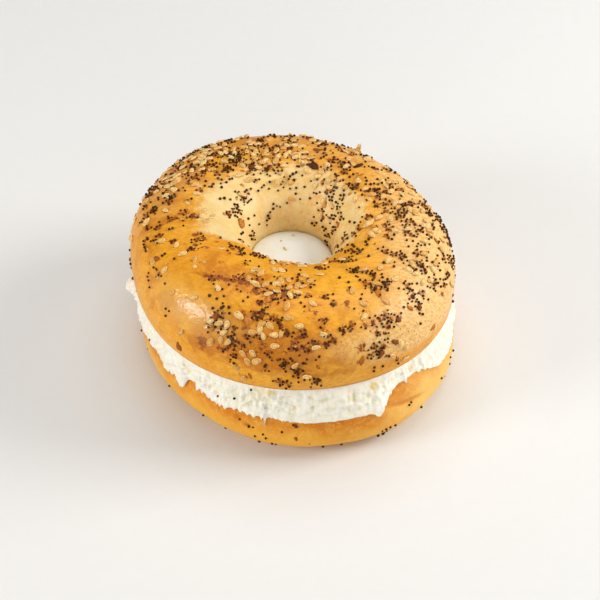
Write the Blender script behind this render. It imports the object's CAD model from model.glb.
"""Looks of the bagel sandwich: crust, heel, torn cream cheese, and its seeds and onion flakes.

Each surface repeats the solid's own form at a finer mesh, with the relief that shows on the real one.
Metres. Surfaces are worked out in the solid's own layout, and all of it is moved by MIDDLE_SHIFT.
Tables give angles and their half widths in degrees, and places in the photo as pixels across and down
from its top left corner.
"""

import math
import random

import bmesh
import bpy
import numpy as np
from mathutils import Euler, Matrix, Vector, noise
from mathutils.bvhtree import BVHTree


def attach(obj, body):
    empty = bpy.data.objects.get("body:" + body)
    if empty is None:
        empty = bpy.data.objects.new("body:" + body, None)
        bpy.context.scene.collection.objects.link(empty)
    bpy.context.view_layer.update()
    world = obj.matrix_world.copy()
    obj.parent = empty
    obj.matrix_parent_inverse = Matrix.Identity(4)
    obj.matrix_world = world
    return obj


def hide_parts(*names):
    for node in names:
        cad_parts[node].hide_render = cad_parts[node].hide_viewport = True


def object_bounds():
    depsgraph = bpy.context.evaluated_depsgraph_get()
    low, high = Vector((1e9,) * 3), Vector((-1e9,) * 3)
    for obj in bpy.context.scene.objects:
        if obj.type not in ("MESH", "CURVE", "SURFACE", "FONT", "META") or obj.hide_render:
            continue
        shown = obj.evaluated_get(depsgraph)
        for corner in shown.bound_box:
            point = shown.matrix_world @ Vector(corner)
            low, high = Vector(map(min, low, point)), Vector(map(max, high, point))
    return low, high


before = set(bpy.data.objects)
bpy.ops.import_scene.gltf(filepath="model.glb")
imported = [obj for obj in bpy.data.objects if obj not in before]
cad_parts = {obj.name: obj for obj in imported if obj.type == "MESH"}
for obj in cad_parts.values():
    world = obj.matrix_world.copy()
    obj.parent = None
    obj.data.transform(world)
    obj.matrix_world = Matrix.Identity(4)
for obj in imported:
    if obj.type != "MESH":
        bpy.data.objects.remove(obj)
cad_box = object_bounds()

# Driving dimensions, as in the solid model
HEEL_RADIUS = 0.0583
HEEL_HEIGHT = 0.0180
CHEESE_THICKNESS = 0.0113
CROWN_RADIUS = 0.0592
CROWN_HEIGHT = 0.0290
CROWN_SHIFT = Vector((-0.0024, 0.0026))
HOLE_CENTRE = Vector((-0.0015, 0.0036))
HOLE_RADIUS = 0.0150
GAP = 0.0003
MIDDLE_SHIFT = Vector((0.0019, -0.0019, 0))
OVAL_ANGLE = math.radians(127)
HEEL_OVAL = 0.0031
CROWN_OVAL = 0.0027
CROWN_LOBES = 0.0012
CROWN_LOBE_ANGLE = math.radians(112)
CROWN_SWELL = 0.0016
CROWN_LEAN = Vector((-0.030, -0.020))
HEEL_WAIST = 0.0095
HEEL_TUCK_ANGLE = math.radians(24)
HEEL_FULLNESS = 2.35
HEEL_CORNER = 0.0140
HEEL_HOLE_CORNER = 0.0050
# Where the heel's cut rim is raised: angle, half width, rise, inset
RIM_RAISES = ((313, 12, 0.0040, 0.0036), (230, 5, 0.0016, 0.0006))
CROWN_WAIST = 0.0085
CROWN_TUCK_ANGLE = math.radians(20)
CROWN_FULLNESS = 2.15
CROWN_HOLE_FULLNESS = 2.35
RIDGE_SHARE = 0.48
# Swing inside the hole at which the crown's relief has run out
RELIEF_END = 1.95
DOUGH_LUMPS = ((0.024, 0.00060), (0.0095, 0.00022))
FOLD_ANGLE = math.radians(28)
FOLD_SWEEP = math.radians(34)
FOLD_WIDTH = math.radians(9)
FOLD_HEIGHT = 0.0011
FOLD_START = 0.7
FOLD_REACH = 1.3
DOME_RISE = 0.0037
SAG_SWING = 3.5
SAG_DEPTH = 0.0022
CHEESE_BULGE = 0.0008
CHEESE_CRAGS = ((0.0085, 0.0011), (0.0034, 0.0006))
# The lip over the heel: its depth and thickness, and where it hangs lower as angle, half width, depth
LIP_DEPTH = 0.0005
LIP_THICKNESS = (0.0004, 0.0011)
LIP_DRAPES = (
    (194, 7, 0.0024),
    (212, 6, 0.0016),
    (222, 4, 0.0020),
    (240, 7, 0.0006),
    (275, 5, 0.0005),
    (300, 3, 0.0009),
)
# Degrees between the waves in a drape's depth, and the depth at which the lip is at its thickest
DRAPE_WAVES = 5.0
THICKEST_DRAPE = 0.0015
# The torn tuft: angle, half width, its place and half width down the side as a share of it, reach
TUFT = (180, 4.0, 0.24, 0.16, 0.0042)
# Wavelength and strength of the tuft's lumps
TUFT_LUMPS = (0.0015, 0.9)

# Relief that only the fine meshes carry: wrinkles of slack dough beside the hole, which slant outwards,
# and short cracks as angle, swing, length, slant in degrees, depth
WRINKLE_ANGLE = 2
WRINKLE_HALF_WIDTH = 34
WRINKLE_SLANT = -50
WRINKLE_SWINGS = (1.10, 1.92)
WRINKLE_SPACING = 3.6
WRINKLE_WARPS = ((0.010, 5.0), (0.004, 1.6))
WRINKLE_PATCHES = 0.006
WRINKLE_HEIGHT = 0.00028
CRACKS = (
    (226, 0.76, 0.0090, 20, 0.00045),
    (238, 0.90, 0.0110, -8, 0.00050),
    (250, 1.02, 0.0080, 12, 0.00040),
    (182, 0.84, 0.0070, -30, 0.00035),
    (240, 0.36, 0.0050, 10, 0.00030),
)
CRACK_SWINGS = (0.1, 1.4)
CRACK_HALF_WIDTH = 0.00055
CRACK_WANDER = (0.0022, 0.0009)
# Depth at which a crack is darkest, and how dark a wrinkle's crease is beside it
DARKEST_DEPTH = 0.0005
CREASE_DARKNESS = 0.55
FINE_LUMPS = ((0.0036, 0.00009), (0.0016, 0.00004))

# Heel: the crease where its rim was lifted, as angle and height at its two ends
CREASE_ENDS = ((303, 0.0168), (317, 0.0128))
CREASE_DEPTH = 0.0008
CREASE_WIDTH = 0.0011
CREASE_WANDER = ((0.003, 0.0005),)

# Cheese: thin drips over the heel as angle, half width and depth, and gaps in the lip
DRIPS = (
    (259.3, 0.22, 0.0040),
    (258.0, 0.20, 0.0022),
    (268.0, 1.0, 0.0006),
    (222.6, 0.9, 0.0012),
    (224.6, 0.8, 0.0011),
    (231.0, 0.9, 0.0015),
    (233.2, 0.6, 0.0013),
    (298.5, 1.6, 0.0012),
    (312.3, 0.7, 0.0014),
    (305.0, 0.8, 0.0006),
)
NOTCHES = (
    (227.8, 1.6, 0.0024),
    (219.5, 1.0, 0.0009),
    (308.0, 2.2, 0.0012),
    (315.5, 2.6, 0.0012),
    (208.0, 1.2, 0.0012),
    (281.0, 15.0, 0.0009),
    (197.0, 4.0, 0.0018),
)
LEAST_LIP = 0.0002
LIP_OVER_WAIST = 0.0005
UNDER_CROWN_INSET = 0.0006
EDGE_RAGS = ((0.0060, 0.00045), (0.0022, 0.00035))
EDGE_TEETH = ((0.0017, 0.00075), (0.0009, 0.00040))
# Torn side: wavelength and height of its crests, of its upright streaks, of the cracks along it and of
# its pits. Streaks and cracks are drawn out or pressed flat by a share of the height
CREST_LAYERS = ((0.0046, 0.00075), (0.0021, 0.00042), (0.0011, 0.00016))
STREAKS = (0.0013, 0.00085)
STREAK_STRETCH = 0.3
SPLITS = (0.0085, 0.00048)
SPLIT_STRETCH = 3.2
SPLIT_WIDTH = 0.08
PITS = (0.0016, 0.00028)
PITS_FROM = 0.25
DEEPEST_RELIEF = 0.001
CAP_WAVES = ((0.007, 0.0004), (0.0028, 0.00015))
# Rows of the dome from its middle as shares of its reach, and its rows down the crown's wall in swing
CAP_SHARES = [0.03 + 0.94 * i / 15 for i in range(16)]
CROWN_WALL_SWINGS = (2.0, 2.25, 2.5, 2.75)
# Where the torn side is calmer: angle, half width, share of its relief and teeth that is gone
CALM_SIDE = ((322, 34, 0.55), (282, 20, 0.20))
# Stains and flecks in the cheese: across, down, radius in millimetres, strength
CHEESE_STAINS = (
    (261, 393, 3.6, 0.55), (271, 393, 1.6, 0.9), (255, 388, 2.0, 0.4), (310, 397, 1.2, 0.7),
    (295, 407, 1.2, 0.4), (312, 407, 1.0, 0.7), (374, 386, 1.8, 1.1), (352, 398, 2.6, 0.35),
    (360, 408, 1.2, 0.5), (411, 368, 2.0, 0.6), (330, 408, 2.0, 0.35), (189, 371, 1.1, 0.6),
    (184, 365, 0.9, 0.5), (293, 236, 1.2, 0.6), (285, 249, 1.3, 0.6),
)

# Seeds and flakes, at their real size
SESAME_SIZE = Vector((0.0034, 0.0025, 0.0011))
SESAME_TAPER = 0.38
SESAME_FLATNESS = 0.75
SESAME_WAVE = (0.00012, 1900)
POPPY_SIZE = Vector((0.00120, 0.00120, 0.00105))
POPPY_DENT = 0.16
POPPY_SHAPE = (1.08, 0.90)
FLAKE_LENGTH = 0.0046
FLAKE_THICKNESS = 0.22
FLAKE_SIDES = 36
FLAKE_RINGS = 7
FLAKE_CORNERS = 6
FLAKE_KINDS = 4
# A flake's width as a share of its length, how ragged its outline is, how far it curls, how thick its
# edge is, and how toasted it may be
FLAKE_WIDTH = 0.55
FLAKE_RAG = 0.07
FLAKE_CURL = 0.32
FLAKE_EDGE = 0.34
FLAKE_TONES = (0.0, 0.5)
CHIP_KINDS = 8
CHIP_LUMPS = ((2.1, 0.55), (5.0, 0.30))
SEED_SINK = 0.26
# Of each kind: random draw, count, least distance apart, most pieces in a clump, spread of a clump,
# tilt in radians. The first row of each kind is the one that the solid model carries, and the next lies
# where the photo doesn't look
FLAKES = ((31, 12, 0.0060, 1, 0.0026, 0.12),)
SESAME = ((32, 88, 0.0030, 3, 0.0026, 0.18), (42, 150, 0.0024, 5, 0.0034, 0.24))
POPPY = ((33, 84, 0.0016, 9, 0.0026, 0.30), (43, 850, 0.00104, 16, 0.0021, 0.35))
CRUMBS = (45, 90, 0.0017, 3, 0.0022, 0.30)
# Poppy seeds on the heel: random draw, count, tilt, for the solid's own and for the hidden side
HEEL_POPPY = (34, 12, 0.30)
HEEL_POPPY_BEHIND = (44, 40, 0.35)
HEEL_TOPPED_SWINGS = (-0.05, 0.55)
TOPPED_SWINGS = (-0.55, 1.78)
# Random draws of what the photo shows, and of the tones. PLACE_DRAW is added for how seeds are turned
PLACE_DRAW = 50
FLAKE_TONE_DRAW = 61
SESAME_TONE_DRAW = 62
POPPY_TONE_DRAW = 63
BIT_DRAW = 70
SESAME_DRAW = 71
CLUMP_DRAW = 72
POPPY_DRAW = 73
RAISED_DRAW = 74
HEEL_SEED_DRAW = 75
CHEESE_SEED_DRAW = 76
SESAME_BAND_DRAW = 77
POPPY_BAND_DRAW = 78
# Scales and tilts of the seeds that the photo shows, how far they are lifted, least distances between
# them, and how far a clump spreads: at least, and more for each root of its count
SESAME_SCALES = (0.78, 0.98)
SESAME_TILT = 0.2
SESAME_LIFT = 0.00016
SESAME_APART = 0.0018
SESAME_BAND_APART = 0.0015
POPPY_SCALES = (0.64, 0.95)
POPPY_TILT = 0.6
POPPY_LIFT = 0.00004
RAISED_LIFT = 0.00070
LEVEL_TILT = 0.3
POPPY_APART = 0.00092
CLUMP_SPREAD = (0.00030, 0.00034)
# Draws for each seed of a clump, how many earlier seeds are looked at, and how close a heap keeps to its
# middle
CLUMP_TRIES = 6
NEIGHBOURS = 60
HEAP_SPREAD = 0.45
# Least seeds in a clump that is heaped, and in one with a chip and a brown smudge
HEAP_COUNT = 9
MARKED_COUNT = 3
# Small chips: their lengths and widths as a share of it, and their thickness
CLUMP_CHIPS = (0.0009, 0.0020)
LOOSE_CHIPS = (0.0008, 0.0017)
CHIP_WIDTHS = (0.5, 0.8)
CHIP_THICKNESS = 0.38
# A clump's chip: how far across and down it may lie from the clump's middle, its tilt, and how burnt it
# and a loose chip may be
CLUMP_CHIP_REACH = (2.5, 2)
CLUMP_CHIP_TILT = 0.3
CLUMP_CHIP_TONES = (0.15, 0.85)
LOOSE_CHIP_TONES = (0.2, 0.8)
# A bit's thickness, at least and more for its width, its tilt, and its thickness for its width where it
# lies on the heel or the cheese
BIT_THICKNESS = (0.0003, 0.30)
BIT_TILT = 0.15
FLAT_BIT_THICKNESS = 0.4
# A bit that stands up on the rim: across, down, length and width in millimetres, how burnt it is
UPRIGHT_BIT = (357, 153, 4.2, 1.7, 0.16)
UPRIGHT_SPIN = 1.75
UPRIGHT_THICKNESS = 0.0006
# Its middle stands over the crust by its length divided by this
UPRIGHT_RISE = 2.6
# Where the topping lies in a thick band: across, down, spread across and down, sesame seeds and poppy
# seeds in it
THICK_PATCHES = (
    (245, 150, 24, 7, 26, 84), (205, 160, 16, 8, 12, 56), (170, 180, 10, 10, 10, 26),
    (300, 150, 22, 7, 14, 40), (345, 172, 16, 8, 10, 34), (390, 195, 18, 10, 10, 40),
    (425, 232, 12, 16, 8, 40), (250, 285, 24, 8, 8, 20),
)

# Each sesame seed that the photo shows
SESAME_SEEN = (
    (276, 284), (289, 288), (295, 287), (298, 293), (290, 296), (303, 287), (288, 280), (281, 271),
    (287, 264), (304, 276), (311, 278), (320, 275), (277, 292), (265, 285), (257, 286), (249, 278),
    (260, 274), (287, 307), (289, 318), (262, 324), (270, 326), (253, 332), (263, 336), (274, 335),
    (281, 334), (275, 346), (299, 326), (295, 365), (307, 376), (352, 291), (316, 347), (244, 377),
    (313, 304), (172, 293), (165, 270), (181, 332), (177, 245), (162, 241), (183, 254), (195, 259),
    (204, 261), (221, 248), (211, 321), (219, 323), (227, 325), (224, 332), (221, 340), (228, 342),
    (153, 261), (377, 284), (388, 261), (417, 260), (380, 268), (363, 270), (364, 317), (352, 292),
    (451, 284), (364, 304), (372, 235), (383, 197), (402, 195), (395, 204), (385, 168), (358, 181),
    (430, 235), (355, 199), (379, 218), (191, 158), (197, 163), (221, 154), (218, 149), (231, 158),
    (225, 162), (220, 141), (207, 151), (200, 156), (202, 150), (195, 185), (197, 194), (166, 211),
    (166, 196), (174, 190), (162, 179), (171, 169), (177, 163), (147, 201), (157, 192), (243, 166),
    (247, 152), (256, 152), (266, 152), (258, 145), (249, 142), (237, 140), (279, 153), (289, 153),
    (282, 144), (294, 146), (276, 161), (269, 163), (284, 166), (232, 158), (258, 168), (307, 171),
    (276, 183), (249, 180), (339, 179), (315, 186), (328, 181), (291, 199), (242, 195), (332, 206),
    (396, 231), (415, 213), (405, 178), (371, 161), (426, 222), (441, 250), (345, 152), (212, 170),
    (231, 139), (236, 140), (242, 138), (202, 170), (208, 144), (261, 163), (269, 140), (302, 147),
    (317, 177), (313, 141), (346, 167), (226, 150), (206, 151), (192, 171), (183, 168), (178, 176),
)
# Each clump of poppy seeds: across, down, seeds in it
POPPY_SEEN = (
    (215, 278, 6), (234, 278, 6), (241, 277, 5), (232, 248, 8), (238, 248, 6), (241, 254, 4),
    (195, 245, 4), (192, 249, 4), (216, 316, 8), (222, 313, 5), (209, 325, 6), (212, 328, 4),
    (221, 328, 6), (233, 329, 4), (234, 339, 9), (233, 343, 4), (227, 348, 3), (234, 349, 3),
    (233, 356, 8), (158, 275, 4), (146, 248, 3), (145, 252, 2), (149, 273, 2), (154, 268, 2),
    (162, 253, 2), (174, 259, 1), (149, 286, 2), (165, 284, 1), (169, 311, 1), (166, 316, 1),
    (166, 308, 1), (241, 292, 1), (243, 301, 1), (239, 315, 2), (224, 305, 2), (254, 255, 4),
    (261, 257, 4), (274, 262, 3), (293, 263, 5), (308, 264, 8), (319, 268, 7), (334, 261, 4),
    (340, 261, 3), (347, 260, 5), (354, 271, 9), (279, 278, 5), (299, 281, 6), (310, 285, 4),
    (284, 291, 5), (275, 292, 4), (269, 293, 6), (276, 297, 5), (284, 296, 6), (295, 296, 3),
    (258, 281, 5), (246, 263, 3), (242, 277, 3), (260, 303, 3), (261, 314, 9), (253, 318, 5),
    (274, 318, 5), (277, 321, 5), (281, 326, 6), (287, 334, 4), (302, 334, 4), (305, 335, 3),
    (295, 342, 5), (291, 349, 3), (297, 348, 4), (302, 347, 3), (308, 350, 3), (317, 343, 6),
    (326, 344, 4), (333, 340, 6), (323, 329, 3), (325, 320, 4), (342, 331, 3), (346, 328, 4),
    (351, 325, 3), (324, 296, 4), (332, 296, 2), (333, 304, 3), (308, 296, 3), (302, 307, 2),
    (284, 365, 12), (298, 371, 11), (278, 381, 4), (283, 384, 5), (288, 385, 4), (317, 381, 9),
    (304, 380, 2), (265, 368, 4), (273, 360, 2), (268, 354, 4), (247, 337, 4), (258, 338, 4),
    (244, 345, 1), (316, 361, 2), (307, 359, 1), (351, 250, 8), (359, 252, 7), (347, 260, 7),
    (353, 272, 6), (373, 275, 10), (385, 284, 13), (373, 290, 11), (367, 283, 6), (385, 252, 6),
    (393, 255, 4), (401, 257, 12), (417, 253, 6), (423, 254, 8), (421, 265, 9), (414, 269, 6),
    (411, 267, 4), (424, 271, 4), (436, 264, 6), (444, 258, 5), (450, 258, 8), (451, 264, 7),
    (447, 273, 4), (434, 284, 12), (444, 286, 6), (455, 288, 6), (408, 287, 8), (413, 295, 10),
    (422, 293, 6), (419, 306, 8), (391, 319, 8), (386, 315, 4), (374, 322, 6), (379, 319, 4),
    (398, 319, 4), (402, 313, 2), (388, 327, 4), (367, 326, 3), (377, 334, 3), (388, 334, 2),
    (386, 339, 2), (380, 350, 10), (374, 347, 4), (384, 345, 4), (371, 355, 4), (390, 357, 2),
    (397, 360, 3), (354, 309, 1), (363, 311, 1), (361, 299, 1), (420, 324, 1), (343, 331, 4),
    (343, 165, 9), (349, 165, 4), (346, 171, 3), (351, 155, 3), (364, 156, 6), (369, 158, 5),
    (375, 169, 5), (356, 186, 9), (366, 191, 4), (376, 191, 9), (385, 191, 4), (376, 197, 3),
    (342, 192, 2), (343, 198, 4), (377, 182, 2), (389, 171, 4), (397, 173, 6), (409, 185, 5),
    (413, 189, 5), (390, 187, 3), (400, 189, 3), (421, 195, 2), (390, 201, 5), (387, 204, 7),
    (403, 204, 4), (410, 204, 5), (414, 203, 5), (426, 201, 4), (423, 204, 4), (425, 208, 8),
    (429, 214, 9), (437, 219, 9), (386, 211, 6), (392, 214, 2), (403, 211, 6), (400, 217, 9),
    (408, 222, 8), (407, 231, 8), (411, 235, 5), (386, 225, 4), (390, 229, 3), (420, 231, 6),
    (431, 225, 4), (345, 237, 6), (353, 234, 4), (358, 228, 3), (387, 237, 4), (447, 237, 4),
    (449, 243, 3), (443, 229, 4), (367, 217, 6), (211, 144, 8), (208, 148, 9), (211, 154, 13),
    (227, 141, 7), (227, 155, 8), (239, 156, 9), (234, 162, 9), (227, 169, 9), (183, 161, 11),
    (195, 152, 8), (179, 169, 7), (191, 169, 10), (168, 169, 5), (164, 174, 5), (203, 173, 6),
    (208, 169, 5), (216, 173, 3), (213, 165, 3), (155, 183, 8), (163, 185, 6), (154, 189, 8),
    (150, 195, 8), (166, 191, 4), (168, 178, 4), (170, 198, 9), (168, 202, 5), (159, 200, 2),
    (146, 206, 5), (154, 211, 10), (146, 217, 4), (172, 218, 3), (159, 227, 5), (148, 228, 4),
    (142, 223, 2), (182, 220, 4), (192, 217, 3), (185, 211, 4), (171, 228, 2), (193, 178, 6),
    (200, 190, 3), (185, 191, 1), (188, 183, 3), (182, 189, 2), (188, 200, 2), (146, 240, 4),
    (155, 241, 4), (173, 242, 3), (197, 240, 6), (203, 238, 3), (159, 235, 3), (201, 234, 1),
    (220, 238, 1), (235, 192, 2), (244, 199, 5), (236, 207, 3), (228, 215, 4), (233, 213, 3),
    (240, 212, 4), (221, 180, 1), (221, 184, 1), (209, 187, 1), (232, 179, 1), (241, 253, 2),
    (227, 141, 6), (246, 138, 6), (244, 148, 5), (252, 146, 5), (261, 141, 5), (264, 146, 3),
    (272, 137, 9), (289, 138, 9), (274, 147, 5), (271, 150, 4), (228, 155, 6), (238, 156, 6),
    (233, 161, 6), (241, 162, 5), (254, 155, 5), (252, 165, 12), (268, 169, 9), (262, 158, 5),
    (271, 161, 4), (279, 166, 4), (278, 172, 4), (228, 169, 6), (250, 173, 5), (286, 144, 5),
    (294, 142, 5), (289, 149, 4), (294, 153, 4), (294, 158, 3), (308, 138, 4), (317, 141, 3),
    (321, 145, 3), (325, 143, 3), (335, 145, 6), (341, 148, 5), (301, 166, 4), (311, 160, 4),
    (329, 166, 6), (334, 159, 4), (324, 152, 2), (323, 171, 4), (343, 172, 4), (323, 183, 4),
    (334, 180, 3), (327, 192, 4), (332, 188, 3), (331, 198, 5), (342, 198, 5), (314, 193, 1),
    (321, 191, 2), (285, 182, 5), (289, 180, 3), (295, 174, 2), (293, 195, 2), (290, 189, 1),
    (296, 188, 1), (304, 187, 1), (278, 191, 1), (300, 199, 1), (287, 203, 1), (311, 181, 1),
    (310, 198, 1), (276, 205, 2), (273, 209, 2), (269, 216, 3), (267, 220, 1), (259, 224, 1),
    (267, 225, 1), (255, 181, 3), (270, 180, 2), (251, 189, 1), (258, 191, 1), (261, 187, 2),
    (269, 189, 1), (247, 192, 3), (247, 196, 4), (243, 200, 5), (236, 198, 2), (236, 206, 3),
    (240, 212, 3), (233, 213, 3), (228, 215, 3), (254, 215, 1), (248, 219, 1), (249, 232, 2),
    (252, 232, 2), (253, 238, 4), (240, 241, 3), (320, 210, 5), (323, 217, 5), (314, 223, 3),
    (317, 223, 1), (331, 219, 5), (338, 212, 8), (340, 218, 5), (324, 229, 2), (327, 235, 4),
    (333, 231, 5), (336, 224, 4), (344, 237, 5), (341, 244, 3), (340, 250, 4), (328, 245, 3),
)
# Onion, garlic and other bits: across, down, length and width in millimetres, how burnt from 0 to 1
BITS_SEEN = (
    (313, 166, 5.0, 2.6, 1.0), (358, 166, 4.2, 2.4, 0.95), (252, 167, 3.0, 2.2, 0.85),
    (287, 334, 2.0, 1.8, 0.9), (241, 224, 4.4, 3.6, 0.42), (368, 224, 4.8, 3.4, 0.05),
    (377, 231, 3.6, 2.4, 0.0), (323, 335, 2.8, 2.0, 0.0), (205, 248, 2.4, 2.0, 0.0),
    (195, 267, 2.0, 1.4, 0.0), (207, 159, 3.0, 2.0, 0.0), (301, 162, 2.4, 1.8, 0.0),
    (188, 203, 2.8, 1.6, 0.1), (179, 346, 3.8, 2.2, 0.65), (157, 259, 3.0, 1.8, 0.65),
    (378, 293, 3.4, 1.8, 0.5), (395, 342, 3.4, 1.9, 0.7), (433, 327, 3.2, 1.6, 0.45),
    (362, 360, 3.6, 1.9, 0.6), (381, 353, 3.6, 2.2, 0.75), (419, 307, 2.4, 1.4, 0.8),
    (410, 308, 2.6, 1.5, 0.45), (347, 302, 1.8, 1.5, 0.6), (318, 367, 1.8, 1.2, 0.6),
    (250, 376, 3.0, 1.2, 0.55), (261, 315, 3.0, 2.0, 0.75), (216, 317, 3.2, 2.0, 0.7),
    (244, 324, 3.0, 1.4, 0.5), (261, 346, 2.6, 1.2, 0.5), (146, 217, 2.6, 2.0, 0.6),
    (214, 278, 3.6, 1.3, 0.6), (234, 279, 3.4, 1.5, 0.6), (436, 241, 2.4, 1.4, 0.5),
    (324, 204, 2.8, 2.2, 0.3), (331, 190, 1.7, 1.4, 0.55), (197, 145, 2.6, 1.6, 0.6),
    (224, 214, 1.8, 1.2, 0.3), (172, 219, 3.2, 1.1, 0.6), (240, 347, 2.0, 1.4, 0.5),
    (221, 350, 1.8, 1.4, 0.45),
)
CHEESE_BITS = ((285, 249, 2.4, 0.9, 0.0), (293, 235, 1.2, 0.8, 0.0), (281, 241, 1.2, 0.8, 0.0))
HEEL_BITS = ((296, 439, 2.2, 1.2, 0.7), (295, 426, 1.6, 1.3, 0.85), (249, 426, 1.6, 1.2, 0.7))
# Darker stains that seeds and bits leave on the crust: across, down, radius in millimetres, strength
STAINS = (
    (203, 343, 3.2, 0.9), (286, 175, 1.8, 0.8), (317, 150, 2.0, 0.8), (361, 349, 2.0, 0.8),
    (442, 294, 1.4, 0.8), (182, 213, 2.2, 0.8), (197, 215, 2.6, 0.7), (172, 172, 2.0, 0.7),
    (172, 219, 2.4, 1.0), (206, 276, 1.2, 0.9), (212, 277, 1.5, 1.1), (219, 278, 1.5, 1.1),
    (226, 279, 1.5, 1.0), (233, 280, 1.6, 1.1), (240, 281, 1.5, 1.0), (247, 283, 1.6, 0.9),
    (255, 291, 2.0, 1.0), (264, 293, 1.8, 0.9), (274, 296, 1.8, 0.9), (205, 248, 1.6, 0.7),
    (255, 352, 6.0, 0.35), (290, 350, 5.0, 0.3), (313, 311, 4.0, 0.3), (351, 291, 2.0, 0.6),
    (299, 286, 2.2, 0.8), (310, 280, 2.0, 0.7), (222, 262, 1.6, 0.5), (240, 313, 2.0, 0.8),
    (256, 316, 2.2, 0.9), (268, 320, 1.8, 0.8), (262, 346, 1.8, 0.9), (221, 350, 1.6, 0.8),
    (240, 347, 1.6, 0.7), (300, 335, 2.2, 0.7), (245, 327, 1.6, 0.7), (346, 304, 1.8, 0.7),
    (378, 293, 2.2, 0.7), (377, 204, 2.0, 0.6), (397, 210, 2.4, 0.6), (365, 199, 2.0, 0.6),
    (332, 160, 2.6, 0.6), (275, 155, 2.6, 0.6), (199, 176, 2.4, 0.6), (183, 305, 3.0, 0.3),
    (268, 300, 4.0, 0.5), (403, 219, 2.4, 0.6), (416, 226, 2.4, 0.6), (359, 176, 1.8, 0.7),
    (196, 235, 3.0, 0.5), (243, 215, 1.8, 0.5),
)
HEEL_STAINS = (
    (397, 384, 1.8, 0.9), (404, 383, 1.4, 0.6), (418, 382, 1.8, 0.5), (393, 393, 1.6, 0.6),
    (388, 403, 1.6, 0.5), (237, 416, 2.2, 0.8), (246, 424, 1.4, 0.8), (229, 409, 1.6, 0.6),
    (296, 426, 1.6, 0.9), (272, 423, 2.6, 0.5), (182, 392, 1.4, 0.6), (296, 439, 1.4, 0.6),
    (142, 333, 1.6, 0.7), (320, 427, 3.0, 0.5), (350, 422, 3.0, 0.4),
)
# Radius in millimetres and strength of the smudge under a clump of poppy seeds and a sesame seed
CLUMP_SMUDGE = (1.5, 0.80)
SESAME_SMUDGE = (1.9, 0.42)
# Poppy seeds in the cheese and on the heel
CHEESE_SEEDS = (
    (218, 396), (234, 398), (251, 390), (137, 291), (141, 298), (133, 315), (150, 340),
)
HEEL_SEEDS = (
    (240, 419), (249, 426), (253, 427), (263, 434), (282, 432), (309, 444), (272, 443), (276, 444),
    (280, 445), (293, 425), (297, 427), (409, 405), (411, 402), (441, 378), (450, 357), (382, 431),
    (386, 429), (390, 427), (395, 425), (428, 418), (433, 417), (255, 436), (266, 438),
)
# How thick the topping lies on the solid's crown, for sesame and for poppy: on bare crust, at most, and
# in patches as angle, distance from the middle, spread, and the two thicknesses
BARE_WEIGHTS = (0.22, 0.28)
MOST_WEIGHT = 3.2
MOST_AREA = 0.062 * 0.045
PATCHES = (
    (92, 0.042, 0.010, 1.5, 1.0), (128, 0.047, 0.010, 1.3, 0.6), (122, 0.058, 0.008, 0.6, 2.4),
    (148, 0.052, 0.008, 0.3, 1.2), (165, 0.050, 0.008, 0.8, 0.9), (72, 0.050, 0.009, 0.4, 1.4),
    (48, 0.038, 0.009, 1.0, 1.3), (30, 0.045, 0.007, 1.2, 0.8), (22, 0.021, 0.006, 0.5, 1.5),
    (66, 0.028, 0.006, 0.3, 1.1), (2, 0.055, 0.009, 0.2, 1.8), (352, 0.042, 0.009, 1.0, 1.0),
    (350, 0.020, 0.005, 1.2, 1.0), (328, 0.050, 0.009, 0.7, 0.9), (308, 0.044, 0.006, 0.2, 1.2),
    (262, 0.033, 0.006, 2.4, 1.3), (284, 0.027, 0.005, 2.0, 0.8), (252, 0.020, 0.005, 0.2, 1.6),
    (228, 0.029, 0.005, 0.4, 1.4), (258, 0.051, 0.007, 1.1, 0.8), (238, 0.045, 0.005, 0.6, 0.8),
)

# Pale dough round the hole: angle, swing at which it starts, and how pale it is
PALE_START = (
    (0, 1.30, 0.80), (15, 1.16, 0.80), (33, 1.24, 0.80), (59, 1.15, 0.80), (83, 1.12, 0.80),
    (104, 1.20, 0.90), (120, 1.13, 0.95), (135, 1.10, 1.0), (152, 1.05, 1.0), (180, 1.05, 1.0),
    (199, 1.06, 1.0), (211, 1.22, 1.0), (219, 1.45, 0.9), (235, 1.62, 0.7), (262, 1.78, 0.4),
    (300, 1.72, 0.4), (331, 1.45, 0.65), (344, 1.36, 0.75),
)
PALE_FADE = 0.22
# Zones of the crust's colour: angle, swing, angular half width, half width in swing, strength. Straw is
# lighter crust, dotted has tiny brown blisters, and glazed shines
CROWN_ZONES = {
    "straw": (
        (328, 0.20, 30, 0.40, 1.00),
        (300, 0.30, 16, 0.20, 0.45),
        (352, 0.72, 36, 0.45, 0.85),
        (160, 0.75, 24, 0.30, 0.35),
        (45, 0.62, 36, 0.42, 0.42),
        (100, 0.95, 40, 0.22, 0.35),
    ),
    "toast": (
        (255, 0.34, 42, 0.32, 1.15),
        (272, 0.05, 45, 0.20, 0.35),
        (238, 0.88, 18, 0.16, 0.5),
        (250, 0.95, 30, 0.14, 0.5),
        (180, 0.60, 30, 0.22, 0.5),
        (160, 0.85, 22, 0.16, 0.5),
        (95, 0.80, 60, 0.30, 0.5),
        (130, 0.50, 45, 0.30, 0.4),
    ),
    "dotted": ((318, 0.12, 26, 0.30, 1.0), (300, 0.35, 24, 0.30, 0.5)),
    "glazed": ((231, 0.42, 24, 0.24, 1.0), (305, 0.70, 30, 0.25, 0.4)),
}
HEEL_STRAW = ((332, 0.0, 34, 1.5, 1.0), (200, 0.0, 16, 0.8, 0.6))
# How far up the crown's side its browned cut edge reaches, in swing
EDGE_LINE = 0.22

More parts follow.
